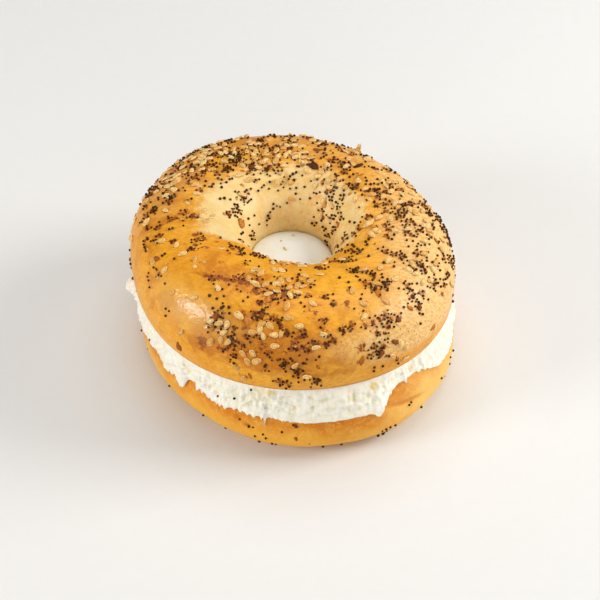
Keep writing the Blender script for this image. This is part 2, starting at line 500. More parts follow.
# Mesh fineness: steps round the hole, and rows from each whole swing to the next
CROWN_STEPS = 600
CROWN_ROWS = ((-1, 18), (0, 54), (1, 52), (2, 10))
HEEL_STEPS = 512
HEEL_ROWS = ((-1, 22), (0, 40), (1, 8), (2, 14), (3, 12))
CHEESE_STEPS = 1000
CHEESE_SIDE_ROWS = 50

# Camera: the photo's height over the table, its distance and its lens
VIEW_HEIGHT = math.radians(43.9)
VIEW_DISTANCE = 0.750
VIEW_TARGET = Vector((0.0, 0.0, 0.025))
VIEW_OFFSET = (-0.001533, 0.003577)
LENS_MM = 123.29
SENSOR_MM = 36
PHOTO_PIXELS = 600
# Least facing towards the camera at which a place counts as seen
LEAST_FACING = 0.10

# Lights: azimuth and height in degrees, distance, size, power, colour
LIGHTS = {
    "key": (6, 31, 0.95, 0.48, 6.8, (1.0, 0.97, 0.93)),
    "fill": (203, 23, 0.95, 0.32, 4.1, (1.0, 0.97, 0.95)),
    "top": (80, 72, 1.1, 0.9, 4.5, (1.0, 0.985, 0.97)),
    "front": (272, 26, 1.1, 0.7, 2.0, (1.0, 0.98, 0.96)),
}
STUDIO_COLOUR = (1.0, 0.98, 0.955, 1)
STUDIO_STRENGTH = 0.27
FLOOR_HALF = 2.5
FLOOR_DROP = 0.0002

# Colours, as linear red, green and blue
GOLDEN = (0.88, 0.425, 0.024)
DEEP_GOLDEN = (0.79, 0.315, 0.008)
LIGHT_GOLDEN = (0.90, 0.47, 0.055)
TOASTED = (0.56, 0.180, 0.002)
STRAW = (0.87, 0.60, 0.25)
GRAIN = (0.68, 0.235, 0.004)
DOUGH = (0.88, 0.67, 0.32)
DEEP_DOUGH = (0.84, 0.58, 0.21)
TINTED = (0.62, 0.185, 0.002)
SMUDGED = (0.24, 0.044, 0.0004)
EDGE_BROWN = (0.58, 0.18, 0.003)
CRACK_BROWN = (0.30, 0.085, 0.006)
PALE_SPECK = (0.90, 0.58, 0.20)
BLISTER = (0.34, 0.10, 0.008)
GLAZED = (0.98, 0.66, 0.13)
HEEL_DARK = (0.68, 0.195, 0.003)
HEEL_GOLDEN = (0.88, 0.42, 0.040)
HEEL_LIGHT = (0.90, 0.50, 0.075)
HEEL_STRAW_TONE = (0.90, 0.56, 0.155)
HEEL_BASE = (0.80, 0.48, 0.12)
HEEL_CREASE = (0.58, 0.18, 0.006)
HEEL_STAIN = (0.52, 0.135, 0.001)
FLOUR = (0.93, 0.62, 0.20)
CREAM = (0.95, 0.91, 0.76)
WHITE_CREAM = (0.975, 0.96, 0.88)
WARM_CREAM = (0.91, 0.84, 0.60)
STREAK_CREAM = (0.85, 0.80, 0.55)
DOME_CREAM = (0.965, 1.0, 0.93)
HOLLOW_CREAM = (0.84, 0.76, 0.48)
STAINED_CREAM = (0.78, 0.58, 0.16)
SESAME_PALE = (0.90, 0.64, 0.25)
SESAME_BROWN = (0.72, 0.37, 0.065)
SESAME_MOTTLE = (0.72, 0.42, 0.13)
SESAME_RING = (0.52, 0.22, 0.035)
SESAME_RIM = (0.92, 0.72, 0.40)
POPPY_BLACK = (0.022, 0.006, 0.001)
POPPY_DARK = (0.050, 0.022, 0.010)
POPPY_BROWN = (0.095, 0.026, 0.002)
POPPY_SLATE = (0.105, 0.078, 0.056)
POPPY_PIT = (0.11, 0.040, 0.008)
ONION_STRAW = (0.88, 0.62, 0.23)
ONION_TOASTED = (0.58, 0.190, 0.016)
ONION_BROWN = (0.26, 0.058, 0.004)
ONION_BURNT = (0.045, 0.011, 0.002)
ONION_MOTTLE = (0.20, 0.045, 0.003)
FLOOR_GREY = (0.77, 0.775, 0.765)
FLOOR_PALE = (0.80, 0.805, 0.795)


def direction(angle):
    return Vector((math.cos(angle), math.sin(angle)))


# Form of the two halves, in polar coordinates


def heel_radius(angle):
    return HEEL_RADIUS + HEEL_OVAL * math.cos(2 * (angle - OVAL_ANGLE))


def crown_radius(angle):
    """Distance from the crown's own middle to its widest line."""
    oval = CROWN_OVAL * math.cos(2 * (angle - OVAL_ANGLE))
    lobes = CROWN_LOBES * math.cos(3 * (angle - CROWN_LOBE_ANGLE))
    return CROWN_RADIUS + oval + lobes


def hole_radius(angle, centre):
    """Distance to the hole's wall from a middle at centre, for a hole that is round about HOLE_CENTRE."""
    off = HOLE_CENTRE - centre
    along = off.dot(direction(angle))
    across = off.length_squared - along * along
    return along + math.sqrt(HOLE_RADIUS**2 - across)


def crown_cut_height(x, y):
    """Height of the crown's flat cut face."""
    level = HEEL_HEIGHT + CHEESE_THICKNESS
    return level + CROWN_LEAN.x * x + CROWN_LEAN.y * y


def crown_height(angle):
    """Height of the crown's ridge over its cut face."""
    return CROWN_HEIGHT + CROWN_SWELL * math.sin(2 * angle)


def signed_power(value, power):
    return math.copysign(abs(value) ** power, value)


def quarter(angle, fullness):
    """(across, up) on a superellipse from (1, 0) to (0, 1)."""
    power = 2 / fullness
    return signed_power(math.cos(angle), power), signed_power(math.sin(angle), power)


def crown_profile(angle, swing):
    """(distance, height over the cut) on the crown's skin. swing runs from -1, at the outer cut edge,
    over 0, at the outer waist, 1, at the ridge, and 2, at the hole's waist, to 3, at the hole's cut edge."""
    outer = crown_radius(angle)
    inner = hole_radius(angle, CROWN_SHIFT)
    ridge = inner + RIDGE_SHARE * (outer - inner)
    reach = outer - ridge if swing < 1 else inner - ridge
    turn = swing if swing < 1 else 2 - swing
    if turn >= 0:
        across, up = quarter(turn * math.pi / 2, CROWN_FULLNESS if swing < 1 else CROWN_HOLE_FULLNESS)
        return ridge + reach * across, CROWN_WAIST + (crown_height(angle) - CROWN_WAIST) * up
    tuck = -turn * CROWN_TUCK_ANGLE
    drop = math.sin(tuck) / math.sin(CROWN_TUCK_ANGLE)
    return ridge + reach * math.cos(tuck), CROWN_WAIST * (1 - drop)


def layered_noise(point, layers):
    """Sum of noise layers, each a (wavelength, height)."""
    total = 0.0
    for wavelength, height in layers:
        total += height * noise.noise(point / wavelength)
    return total


def fold_relief(angle, swing):
    """Step of the overlapping dough end: steep on one side, running out over the ridge."""
    along = (swing - FOLD_START) / FOLD_REACH
    if not 0 < along < 1:
        return 0.0
    centre = FOLD_ANGLE - FOLD_SWEEP * (along - 0.5)
    off = (angle - centre + math.pi) % (2 * math.pi) - math.pi
    side = off / FOLD_WIDTH
    step = math.exp(-side * side) if side > 0 else math.exp(-side * side / 6)
    return FOLD_HEIGHT * step * math.sin(math.pi * along) ** 0.7


def crown_base(angle, swing):
    distance, height = crown_profile(angle, swing)
    spot = CROWN_SHIFT + distance * direction(angle)
    return Vector((spot.x, spot.y, crown_cut_height(spot.x, spot.y) + height))


def skin_normal(surface, angle, swing, facing=1):
    """Normal of a surface(angle, swing). It faces out where swing runs up the outside, and with
    facing -1 where swing runs down it."""
    step = 0.004
    round_it = surface(angle + step, swing) - surface(angle - step, swing)
    over_it = surface(angle, swing + step) - surface(angle, swing - step)
    return facing * round_it.cross(over_it).normalized()


def turn_between(angle, degrees):
    """Angle in degrees from a direction in degrees, between -180 and 180."""
    return (math.degrees(angle) - degrees + 180) % 360 - 180


def bell(value):
    return math.exp(-value * value)


def swells(rows, angle):
    """Sum at an angle of bells, each (angle, half width, height)."""
    return sum(height * bell(turn_between(angle, centre) / width) for centre, width, height in rows)


def zone_strength(zones, angle, swing):
    """Strength at a place of colour zones, each (angle, swing, angular half width, half width, strength)."""
    total = 0.0
    for degrees, middle, width, half, strength in zones:
        total += strength * bell(turn_between(angle, degrees) / width) * bell((swing - middle) / half)
    return min(1.0, total)


def pale_strength(angle, swing):
    """How pale the dough is at a place, from PALE_START, whose rows run round the hole."""
    places = [row[0] for row in PALE_START]
    degrees = math.degrees(angle) % 360
    start = np.interp(degrees, places, [row[1] for row in PALE_START], period=360)
    most = np.interp(degrees, places, [row[2] for row in PALE_START], period=360)
    return most * min(1.0, max(0.0, (swing - start) / PALE_FADE + 0.5))


def wrinkle_relief(point, angle, swing):
    """(relief, crease strength) of the slack dough's wrinkles at the right of the hole."""
    along = 2 * (swing - WRINKLE_SWINGS[0]) / (WRINKLE_SWINGS[1] - WRINKLE_SWINGS[0]) - 1
    off = turn_between(angle, WRINKLE_ANGLE) - WRINKLE_SLANT * (swing - 1.2)
    across = off / WRINKLE_HALF_WIDTH
    if abs(across) > 1 or abs(along) > 1:
        return 0.0, 0.0
    mask = (1 - across**4) * (1 - along**4)
    warp = layered_noise(point, WRINKLE_WARPS)
    crest = abs(math.sin(math.pi * (off + warp) / WRINKLE_SPACING)) ** 0.55
    uneven = 0.55 + 0.9 * abs(noise.noise(point / WRINKLE_PATCHES))
    return WRINKLE_HEIGHT * (2 * crest - 1) * mask * uneven, (1 - crest) * mask * uneven


def crack_depth(point, places):
    """Depth at a point of the short cracks, which wander and taper at both ends."""
    wavelength, reach = CRACK_WANDER
    at = point / wavelength
    spot = point + reach * Vector((noise.noise(at), noise.noise(at + Vector((7, 3, 1))), 0))
    total = 0.0
    for middle, along, length, depth in places:
        off = spot - middle
        run = off.dot(along) / (length / 2)
        if off.length > length or abs(run) >= 1:
            continue
        side = (off - along * off.dot(along)).length
        total = max(total, depth * (1 - run * run) * bell(side / CRACK_HALF_WIDTH))
    return total


def crack_places():
    """(middle, direction, length, depth) of each crack on the crown."""
    places = []
    for degrees, swing, length, slant, depth in CRACKS:
        angle = math.radians(degrees)
        round_it = (crown_base(angle + 0.01, swing) - crown_base(angle - 0.01, swing)).normalized()
        over_it = (crown_base(angle, swing + 0.01) - crown_base(angle, swing - 0.01)).normalized()
        turn = math.radians(slant)
        along = round_it * math.cos(turn) + over_it * math.sin(turn)
        places.append((crown_base(angle, swing), along, length, depth))
    return places


def crown_skin(angle, swing):
    """Point on the crown's crust, with the dough's lumps and its fold, as in the solid."""
    point = crown_base(angle, swing)
    fade = min(1.0, 1.6 * (swing + 1), 2.6 * max(0.0, RELIEF_END - swing))
    relief = (layered_noise(point, DOUGH_LUMPS) + fold_relief(angle, swing)) * fade
    return point + relief * skin_normal(crown_base, angle, swing)


def rim_raise(angle):
    """(rise, inset) of the heel's cut rim."""
    total = Vector((0, 0))
    for centre, width, rise, inset in RIM_RAISES:
        total += Vector((rise, inset)) * math.exp(-((turn_between(angle, centre) / width) ** 4))
    return total


def heel_cut_height(angle):
    return HEEL_HEIGHT + rim_raise(angle).x


def heel_profile(angle, swing):
    """(distance, height) on the heel's skin. swing runs from -1, at the outer cut edge, over 0, at the
    outer waist, and 1, where the flat base begins, to 2, where it ends at the hole, 3, at the hole's
    waist, and 4, at the hole's cut edge."""
    outer = heel_radius(angle)
    inner = hole_radius(angle, Vector((0, 0)))
    if swing < 0 or swing > 3:
        upper = (heel_cut_height(angle) if swing < 0 else HEEL_HEIGHT) - HEEL_WAIST
        tuck = (-swing if swing < 0 else swing - 3) * HEEL_TUCK_ANGLE
        rise = math.sin(tuck) / math.sin(HEEL_TUCK_ANGLE)
        reach = HEEL_CORNER * (1 - math.cos(tuck))
        side = outer - reach - rim_raise(angle).y * rise * rise if swing < 0 else inner + reach
        return side, HEEL_WAIST + upper * rise
    if swing <= 1:
        across, up = quarter(swing * math.pi / 2, HEEL_FULLNESS)
        return outer - HEEL_CORNER * (1 - across), HEEL_WAIST * (1 - up)
    if swing < 2:
        share = swing - 1
        return (outer - HEEL_CORNER) * (1 - share) + (inner + HEEL_HOLE_CORNER) * share, 0.0
    across, up = quarter((3 - swing) * math.pi / 2, HEEL_FULLNESS)
    return inner + HEEL_HOLE_CORNER * (1 - across), HEEL_WAIST * (1 - up)


def outward(angle, distance, height):
    spot = distance * direction(angle)
    return Vector((spot.x, spot.y, height))


def heel_base(angle, swing):
    return outward(angle, *heel_profile(angle, swing))


def heel_skin(angle, swing):
    """Point on the heel's crust, as in the solid. The flat base and the cut edges stay in their planes."""
    point = heel_base(angle, swing)
    if 1 <= swing <= 2:
        return point
    fade = min(1.0, max(0.0, 2.5 * min(swing + 1, 1 - swing) if swing < 1 else 0.0))
    relief = layered_noise(point, DOUGH_LUMPS) * fade
    return point + relief * skin_normal(heel_base, angle, swing, facing=-1)


def crease_depth(point):
    """Depth at a point of the crease in the heel's side."""
    (start, start_height), (end, end_height) = CREASE_ENDS
    degrees = math.degrees(math.atan2(point.y, point.x)) % 360
    share = (degrees - start) / (end - start)
    if not -0.2 < share < 1.2:
        return 0.0
    height = start_height + (end_height - start_height) * share + layered_noise(point, CREASE_WANDER)
    fade = max(0.0, 1 - ((share - 0.5) / 0.7) ** 4)
    return CREASE_DEPTH * fade * bell((point.z - height) / CREASE_WIDTH)


# Meshes


def new_object(name, data):
    obj = bpy.data.objects.new(name, data)
    bpy.context.scene.collection.objects.link(obj)
    return obj


def ring_surface(name, rows, closed):
    """Joins rows of points, each a closed loop round the hole. closed joins the last row to the first,
    and otherwise each end row is filled with a fan round its middle."""
    count = len(rows[0])
    points = [point for row in rows for point in row]
    faces = []
    row_count = len(rows)
    for r in range(row_count if closed else row_count - 1):
        first, second = r * count, ((r + 1) % row_count) * count
        for i in range(count):
            j = (i + 1) % count
            faces.append((first + i, first + j, second + j, second + i))
    if not closed:
        for start in (0, (row_count - 1) * count):
            points.append(sum(points[start : start + count], Vector()) / count)
            for i in range(count):
                faces.append((start + i, start + (i + 1) % count, len(points) - 1))
    mesh = bpy.data.meshes.new(name)
    mesh.from_pydata(points, [], faces)
    bm = bmesh.new()
    bm.from_mesh(mesh)
    bmesh.ops.recalc_face_normals(bm, faces=bm.faces)
    bm.to_mesh(mesh)
    bm.free()
    return new_object(name, mesh)


def store(mesh, name, values):
    """Keeps one number for each vertex, which the materials read."""
    attribute = mesh.attributes.new(name, "FLOAT", "POINT")
    attribute.data.foreach_set("value", values)


def angles(count):
    return [2 * math.pi * i / count for i in range(count)]


def crust_body(name, rows, count, place_at):
    """Closed skin from place_at(angle, swing), which gives a point and the values to keep there by name."""
    swings = [start + i / row_count for start, row_count in rows for i in range(row_count)]
    point_rows, kept = [], {}
    for swing in swings + [rows[-1][0] + 1]:
        places = [place_at(angle, swing) for angle in angles(count)]
        point_rows.append([point for point, _ in places])
        for key in places[0][1]:
            kept.setdefault(key, []).extend(values[key] for _, values in places)
    body = ring_surface(name, point_rows, closed=True)
    for key, values in kept.items():
        store(body.data, key, values)
    return body


def crown_place(angle, swing, cracks):
    """(point, values for the material) on the crown's skin with its fine relief."""
    point = crown_skin(angle, swing)
    fade = min(1.0, 3 * (swing + 1), 4 * max(0.0, RELIEF_END - swing))
    split = crack_depth(point, cracks) if CRACK_SWINGS[0] < swing < CRACK_SWINGS[1] else 0.0
    wrinkle, crease = wrinkle_relief(point, angle, swing)
    relief = wrinkle + layered_noise(point, FINE_LUMPS) - split
    values = {name: zone_strength(zones, angle, swing) for name, zones in CROWN_ZONES.items()}
    values["pale"] = pale_strength(angle, swing)
    values["edge"] = max(0.0, 1 - (swing + 1) / EDGE_LINE)
    values["crack"] = split / DARKEST_DEPTH + CREASE_DARKNESS * crease
    return point + relief * fade * skin_normal(crown_base, angle, swing), values


def heel_place(angle, swing):
    """(point, values for the material) on the heel's skin with its fine relief."""
    point = heel_skin(angle, swing)
    values = {"swing": swing, "crack": 0.0, "straw": zone_strength(HEEL_STRAW, angle, swing)}
    if swing >= 1:
        return point, values
    split = crease_depth(point)
    values["crack"] = split / CREASE_DEPTH
    fade = min(1.0, 3 * (swing + 1), 3 * (1 - swing))
    relief = (layered_noise(point, FINE_LUMPS) - split) * fade
    return point + relief * skin_normal(heel_base, angle, swing, facing=-1), values


def make_crown():
    cracks = crack_places()
    return crust_body("crown_crust", CROWN_ROWS, CROWN_STEPS, lambda a, s: crown_place(a, s, cracks))


def make_heel():
    return crust_body("heel_crust", HEEL_ROWS, HEEL_STEPS, heel_place)


# Cream cheese


def drape(angle):
    """(depth, thickness) of the lip that hangs over the heel's crust at this angle, as in the solid."""
    extra = 0.0
    for centre, width, depth in LIP_DRAPES:
        extra += depth * math.exp(-((turn_between(angle, centre) / width) ** 4))
    ragged = 1 + 0.5 * noise.noise(Vector((math.degrees(angle) / DRAPE_WAVES, 3.7, 0)))
    share = min(1.0, extra / THICKEST_DRAPE)
    return LIP_DEPTH + extra * ragged, LIP_THICKNESS[0] * (1 - share) + LIP_THICKNESS[1] * share


def roughness_left(angle):
    """Share of the torn side's relief that is left at this angle."""
    return 1 - swells(CALM_SIDE, angle)


def torn_edge(angle):
    """How much further the ragged lip hangs than the solid's, with its thin drips and its gaps."""
    round_it = direction(angle).to_3d() * HEEL_RADIUS
    total = layered_noise(round_it, EDGE_RAGS) + swells(DRIPS, angle) - swells(NOTCHES, angle)
    for wavelength, height in EDGE_TEETH:
        total += roughness_left(angle) * height * (0.5 - 2.2 * abs(noise.noise(round_it / wavelength)))
    return total


def heel_wall(angle, height):
    """Distance of the heel's crust, lumps included, at a height between its waist and its cut."""
    share = (height - HEEL_WAIST) / (heel_cut_height(angle) - HEEL_WAIST)
    swing = -math.asin(max(-1.0, min(1.0, share * math.sin(HEEL_TUCK_ANGLE)))) / HEEL_TUCK_ANGLE
    return heel_skin(angle, swing).to_2d().length


def crown_cut_edge(angle):
    """Point of the crown's outer cut edge nearest to this direction from the origin."""
    turn = angle
    for _ in range(4):
        edge = crown_base(turn, -1)
        turn += (angle - math.atan2(edge.y, edge.x) + math.pi) % (2 * math.pi) - math.pi
    return crown_base(turn, -1)


def foot_height(angle):
    depth = max(LEAST_LIP, drape(angle)[0] + torn_edge(angle))
    return max(HEEL_WAIST + LIP_OVER_WAIST, heel_cut_height(angle) - depth)


def stretched(point, share):
    return Vector((point.x, point.y, point.z * share))


def tear_relief(point):
    """Fine relief of the torn side: sharp crests, upright streaks, cracks that run along it, and pits."""
    total = 0.0
    for wavelength, height in CREST_LAYERS:
        total += height * (0.55 - 2.0 * abs(noise.noise(point / wavelength)))
    total += STREAKS[1] * noise.noise(stretched(point, STREAK_STRETCH) / STREAKS[0])
    split = noise.noise(stretched(point, SPLIT_STRETCH) / SPLITS[0])
    total -= SPLITS[1] * bell(split / SPLIT_WIDTH)
    pit = noise.noise(point / PITS[0] + Vector((5, 2, 8)))
    return total - PITS[1] * max(0.0, pit - PITS_FROM) / 0.5


def cheese_side(angle, share):
    """(point, relief) on the cheese's ragged side. share runs from 0, under the crown, to 1, at the
    lip's foot."""
    out = direction(angle).to_3d()
    _, thickness = drape(angle)
    top = crown_cut_edge(angle) - Vector((0, 0, GAP)) - UNDER_CROWN_INSET * out
    low = foot_height(angle)
    foot = outward(angle, heel_wall(angle, low) + GAP * 0.5 + thickness * 0.7, low)
    point = top.lerp(foot, share)
    swell = math.sin(math.pi * min(0.86, share + 0.05))
    centre, width, middle, half, reach = TUFT
    tuft = reach * bell(turn_between(angle, centre) / width) * bell((share - middle) / half)
    tuft *= 1 + TUFT_LUMPS[1] * noise.noise(point / TUFT_LUMPS[0])
    bulge = CHEESE_BULGE * (1 - rim_raise(angle).x / RIM_RAISES[0][2])
    torn = tear_relief(point) * roughness_left(angle)
    crag = layered_noise(point, CHEESE_CRAGS) + torn
    return point + ((crag + bulge) * swell + tuft) * out, torn * swell


def hole_filling(base, swing, facing):
    """Row of cheese that lies close to the wall of a hole, at one swing of the bread's surface."""
    return [base(a, swing) + GAP * skin_normal(base, a, swing, facing) for a in angles(CHEESE_STEPS)]


def cap_rows(edge, rise, shares):
    """Rows from the middle of a filled hole to its edge, domed up by rise, or sagging if it is below 0."""
    middle = sum(edge, Vector()) / len(edge)
    rows = []
    for share in shares:
        row = []
        for point in edge:
            spot = middle.lerp(point, share)
            lift = rise * (1 - share**2.2)
            wave = layered_noise(spot, CAP_WAVES) * (1 - share**4)
            row.append(spot + Vector((0, 0, lift + wave)))
        rows.append(row)
    return rows


def rim_rows(feet):
    """Rows behind the lip, close to the heel's crust: just under the lip's feet, and on the heel's rim."""
    turn = angles(CHEESE_STEPS)
    rows = []
    for heights, rise in ((feet, -0.0001), ([heel_cut_height(a) for a in turn], GAP)):
        rows.append([outward(a, heel_wall(a, h) + GAP * 0.4, h + rise) for a, h in zip(turn, heights)])
    return rows


def make_cheese():
    """The cheese from its dome over its torn side to its sag, with how deep its relief lies."""
    turn = angles(CHEESE_STEPS)
    crown_wall = [hole_filling(crown_base, s, 1) for s in CROWN_WALL_SWINGS]
    rows = cap_rows(crown_wall[0], DOME_RISE, CAP_SHARES) + crown_wall
    dome_count = len(rows) * CHEESE_STEPS
    under_crown = hole_filling(crown_base, 3, 1)
    for point in under_crown:
        point.z = crown_cut_height(point.x, point.y) - GAP
    rows.append(under_crown)
    relief = [0.0] * (len(rows) * CHEESE_STEPS)
    for i in range(CHEESE_SIDE_ROWS):
        side = [cheese_side(a, i / (CHEESE_SIDE_ROWS - 1)) for a in turn]
        rows.append([point for point, _ in side])
        relief += [torn / DEEPEST_RELIEF for _, torn in side]
    rows += rim_rows([foot_height(a) for a in turn])
    over_heel = hole_filling(heel_base, 4, -1)
    for point in over_heel:
        point.z = HEEL_HEIGHT + GAP
    heel_edge = hole_filling(heel_base, SAG_SWING, -1)
    rows += [over_heel, heel_edge] + cap_rows(heel_edge, -SAG_DEPTH, CAP_SHARES[::3])[::-1]
    cheese = ring_surface("cream_cheese_torn", rows, closed=False)
    vertex_count = len(cheese.data.vertices)
    store(cheese.data, "relief", relief + [0.0] * (vertex_count - len(relief)))
    store(cheese.data, "dome", [float(i < dome_count) for i in range(vertex_count)])
    return cheese


# Seeds and flakes


def topping_weight(point, kind):
    """How thick the topping lies at a point of the crown: kind is 0 for sesame and flakes, 1 for poppy."""
    spot = point.to_2d() - CROWN_SHIFT
    weight = BARE_WEIGHTS[kind]
    for degrees, distance, spread, *kinds in PATCHES:
        off = spot - distance * direction(math.radians(degrees))
        weight += kinds[kind] * math.exp(-off.length_squared / (2 * spread * spread))
    return weight


def stretches(angle, swing):
    """Lengths on the crown's skin for one radian of angle and for one unit of swing."""
    step = 0.01
    distance, _ = crown_profile(angle, swing)
    over_it = crown_base(angle, swing + step) - crown_base(angle, swing - step)
    return distance, over_it.length / (2 * step)


def draw_spot(rng, kind):
    """(angle, swing) of a random place on the crown, more often where the topping lies thick."""
    while True:
        angle = rng.uniform(0, 2 * math.pi)
        swing = rng.uniform(*TOPPED_SWINGS)
        around, over = stretches(angle, swing)
        weight = topping_weight(crown_base(angle, swing), kind)
        if rng.uniform(0, MOST_AREA * MOST_WEIGHT) < around * over * weight:
            return angle, swing


def camera_axes():
    """(right, up, ahead) of the camera."""
    right = Vector((1, 0, 0))
    up = Vector((0, math.sin(VIEW_HEIGHT), math.cos(VIEW_HEIGHT)))
    ahead = Vector((0, math.cos(VIEW_HEIGHT), -math.sin(VIEW_HEIGHT)))
    return right, up, ahead


def camera_spot():
    right, up, ahead = camera_axes()
    return VIEW_TARGET - right * VIEW_OFFSET[0] - up * VIEW_OFFSET[1] - ahead * VIEW_DISTANCE


def seen_point(tree, across, down):
    """Point of a body that the photo shows at a pixel, or None."""
    right, up, ahead = camera_axes()
    reach = SENSOR_MM / LENS_MM / PHOTO_PIXELS
    middle = PHOTO_PIXELS / 2
    line = ahead + right * (across - middle) * reach - up * (down - middle) * reach
    return tree.ray_cast(camera_spot(), line.normalized())[0]


def seen_rows(tree, rows):
    """(point, the row's other values) of each row of (across, down, ...) whose place a body shows."""
    for across, down, *values in rows:
        point = seen_point(tree, across, down)
        if point is not None:
            yield point, values


def faces_camera(tree, point):
    """Whether the photo shows this place of a body."""
    _, normal, _, _ = tree.find_nearest(point)
    line = camera_spot() - point
    if normal.dot(line.normalized()) < LEAST_FACING:
        return False
    return tree.ray_cast(point + line.normalized() * 0.001, line.normalized())[0] is None


def far_enough(spot, taken, distance):
    return all((spot - other).length > distance for other in taken)


def seed_points(rng, count, kind, apart, clump, spread, taken):
    """Points on the crown, in clumps of up to clump pieces, none closer than apart."""
    points = []
    while len(points) < count:
        angle, swing = draw_spot(rng, kind)
        around, over = stretches(angle, swing)
        for _ in range(rng.randint(1, clump)):
            a = angle + rng.gauss(0, spread) / around
            s = swing + rng.gauss(0, spread) / over
            if not TOPPED_SWINGS[0] < s < TOPPED_SWINGS[1]:
                continue
            point = crown_skin(a, s)
            if far_enough(point, points + taken, apart) and len(points) < count:
                points.append(point)
    return points


def sesame_mesh():
    """Flat teardrop with a rounded rim, narrowed towards +X."""
    height, waves = SESAME_WAVE
    bm = bmesh.new()
    bmesh.ops.create_icosphere(bm, subdivisions=3, radius=0.5)
    for vert in bm.verts:
        narrow = 1 - SESAME_TAPER * (vert.co.x + 0.5)
        flat = signed_power(vert.co.z * 2, SESAME_FLATNESS) / 2
        vert.co = Vector((vert.co.x, vert.co.y * narrow, flat)) * SESAME_SIZE
        vert.co.z += height * math.sin(vert.co.x * waves)
    return bm


def poppy_mesh():
    """Kidney-shaped bead, dented at one side."""
    bm = bmesh.new()
    bmesh.ops.create_icosphere(bm, subdivisions=2, radius=0.5)
    for vert in bm.verts:
        vert.co.x -= POPPY_DENT * bell((vert.co.x - 0.5) / 0.25)
        vert.co.x *= POPPY_SHAPE[0]
        vert.co.y *= POPPY_SHAPE[1]
        vert.co = vert.co * POPPY_SIZE
    return bm


def flake_outline(rng):
    """Draws the reaches of a flake's corners, as the solid's flakes have them."""
    return [rng.uniform(0.7, 1.0) for _ in range(FLAKE_CORNERS)]


def flake_ring(reaches, share, level):
    """Points round a flake at a share of its reach, on its upper face for level 1 and its lower for -1."""
    half = FLAKE_LENGTH / 2
    thickness = FLAKE_LENGTH * FLAKE_THICKNESS
    ring = []
    for i in range(FLAKE_SIDES):
        place = FLAKE_CORNERS * i / FLAKE_SIDES
        low = reaches[int(place) % FLAKE_CORNERS]
        high = reaches[(int(place) + 1) % FLAKE_CORNERS]
        reach = half * (low + (high - low) * (place % 1)) * share
        turn = 2 * math.pi * i / FLAKE_SIDES
        rag = 1 + FLAKE_RAG * math.sin(5 * turn + low * 20) * share
        x, y = reach * rag * math.cos(turn), reach * rag * math.sin(turn) * FLAKE_WIDTH
        curl = FLAKE_CURL * thickness * (math.cos(x / half * 1.7) - 0.75)
        edge = thickness * FLAKE_EDGE * math.sqrt(max(0.0, 1 - share**4))
        ring.append((x, y, curl + level * edge))
    return ring


def flake_mesh(reaches):
    """Dried onion flake: a thin curled chip with an uneven outline."""
    bm = bmesh.new()
    shares = [k / FLAKE_RINGS for k in range(1, FLAKE_RINGS + 1)]
    rings = [flake_ring(reaches, share, -1) for share in shares]
    rings += [flake_ring(reaches, share, 1) for share in reversed(shares)]
    loops = [[bm.verts.new(point) for point in ring] for ring in rings]
    apex = bm.verts.new(flake_ring(reaches, 0, 1)[0])
    low_apex = bm.verts.new((0, 0, -FLAKE_LENGTH * FLAKE_THICKNESS * 0.25))
    for first, second in zip(loops, loops[1:]):
        for i in range(FLAKE_SIDES):
            j = (i + 1) % FLAKE_SIDES
            bm.faces.new((first[i], first[j], second[j], second[i]))
    for i in range(FLAKE_SIDES):
        j = (i + 1) % FLAKE_SIDES
        bm.faces.new((loops[-1][i], loops[-1][j], apex))
        bm.faces.new((loops[0][j], loops[0][i], low_apex))
    bmesh.ops.recalc_face_normals(bm, faces=bm.faces)
    return bm


def chip_mesh(draw):
    """Uneven toasted bit of onion or garlic, one unit long, wide and thick."""
    (broad, broad_height), (fine, fine_height) = CHIP_LUMPS
    bm = bmesh.new()
    bmesh.ops.create_icosphere(bm, subdivisions=2, radius=0.5)
    for vert in bm.verts:
        lumps = broad_height * noise.noise(vert.co * broad + Vector((draw, 0, 0)))
        lumps += fine_height * noise.noise(vert.co * fine + Vector((0, draw, 0)))
        vert.co *= 1 + lumps
    return bm


def lay_on(tree, point, spin, tilt):
    """Matrix that lays a piece on a body's faces at the place nearest to point, turned and tipped."""
    spot, normal, _, _ = tree.find_nearest(point)
    side = normal.cross(Vector((0.31, 0.92, 0.24))).normalized()
    basis = Matrix((side, normal.cross(side), normal)).transposed().to_4x4()
    turn = Euler((tilt, 0, spin)).to_matrix().to_4x4()
    return Matrix.Translation(spot) @ basis @ turn


def scattered_places(rng, tree, points, kinds, height, tilt, scales=(0.85, 1.12), lift=0.0):
    """(matrix, kind) for each point: sunk into the body by SEED_SINK of the piece's height, and lifted."""
    places = []
    for point in points:
        scale = rng.uniform(*scales)
        place = lay_on(tree, point, rng.uniform(0, 2 * math.pi), rng.gauss(0, tilt))
        rise = Matrix.Translation((0, 0, (0.5 - SEED_SINK) * height * scale + lift))
        places.append((place @ rise @ Matrix.Scale(scale, 4), rng.choice(kinds)))
    return places


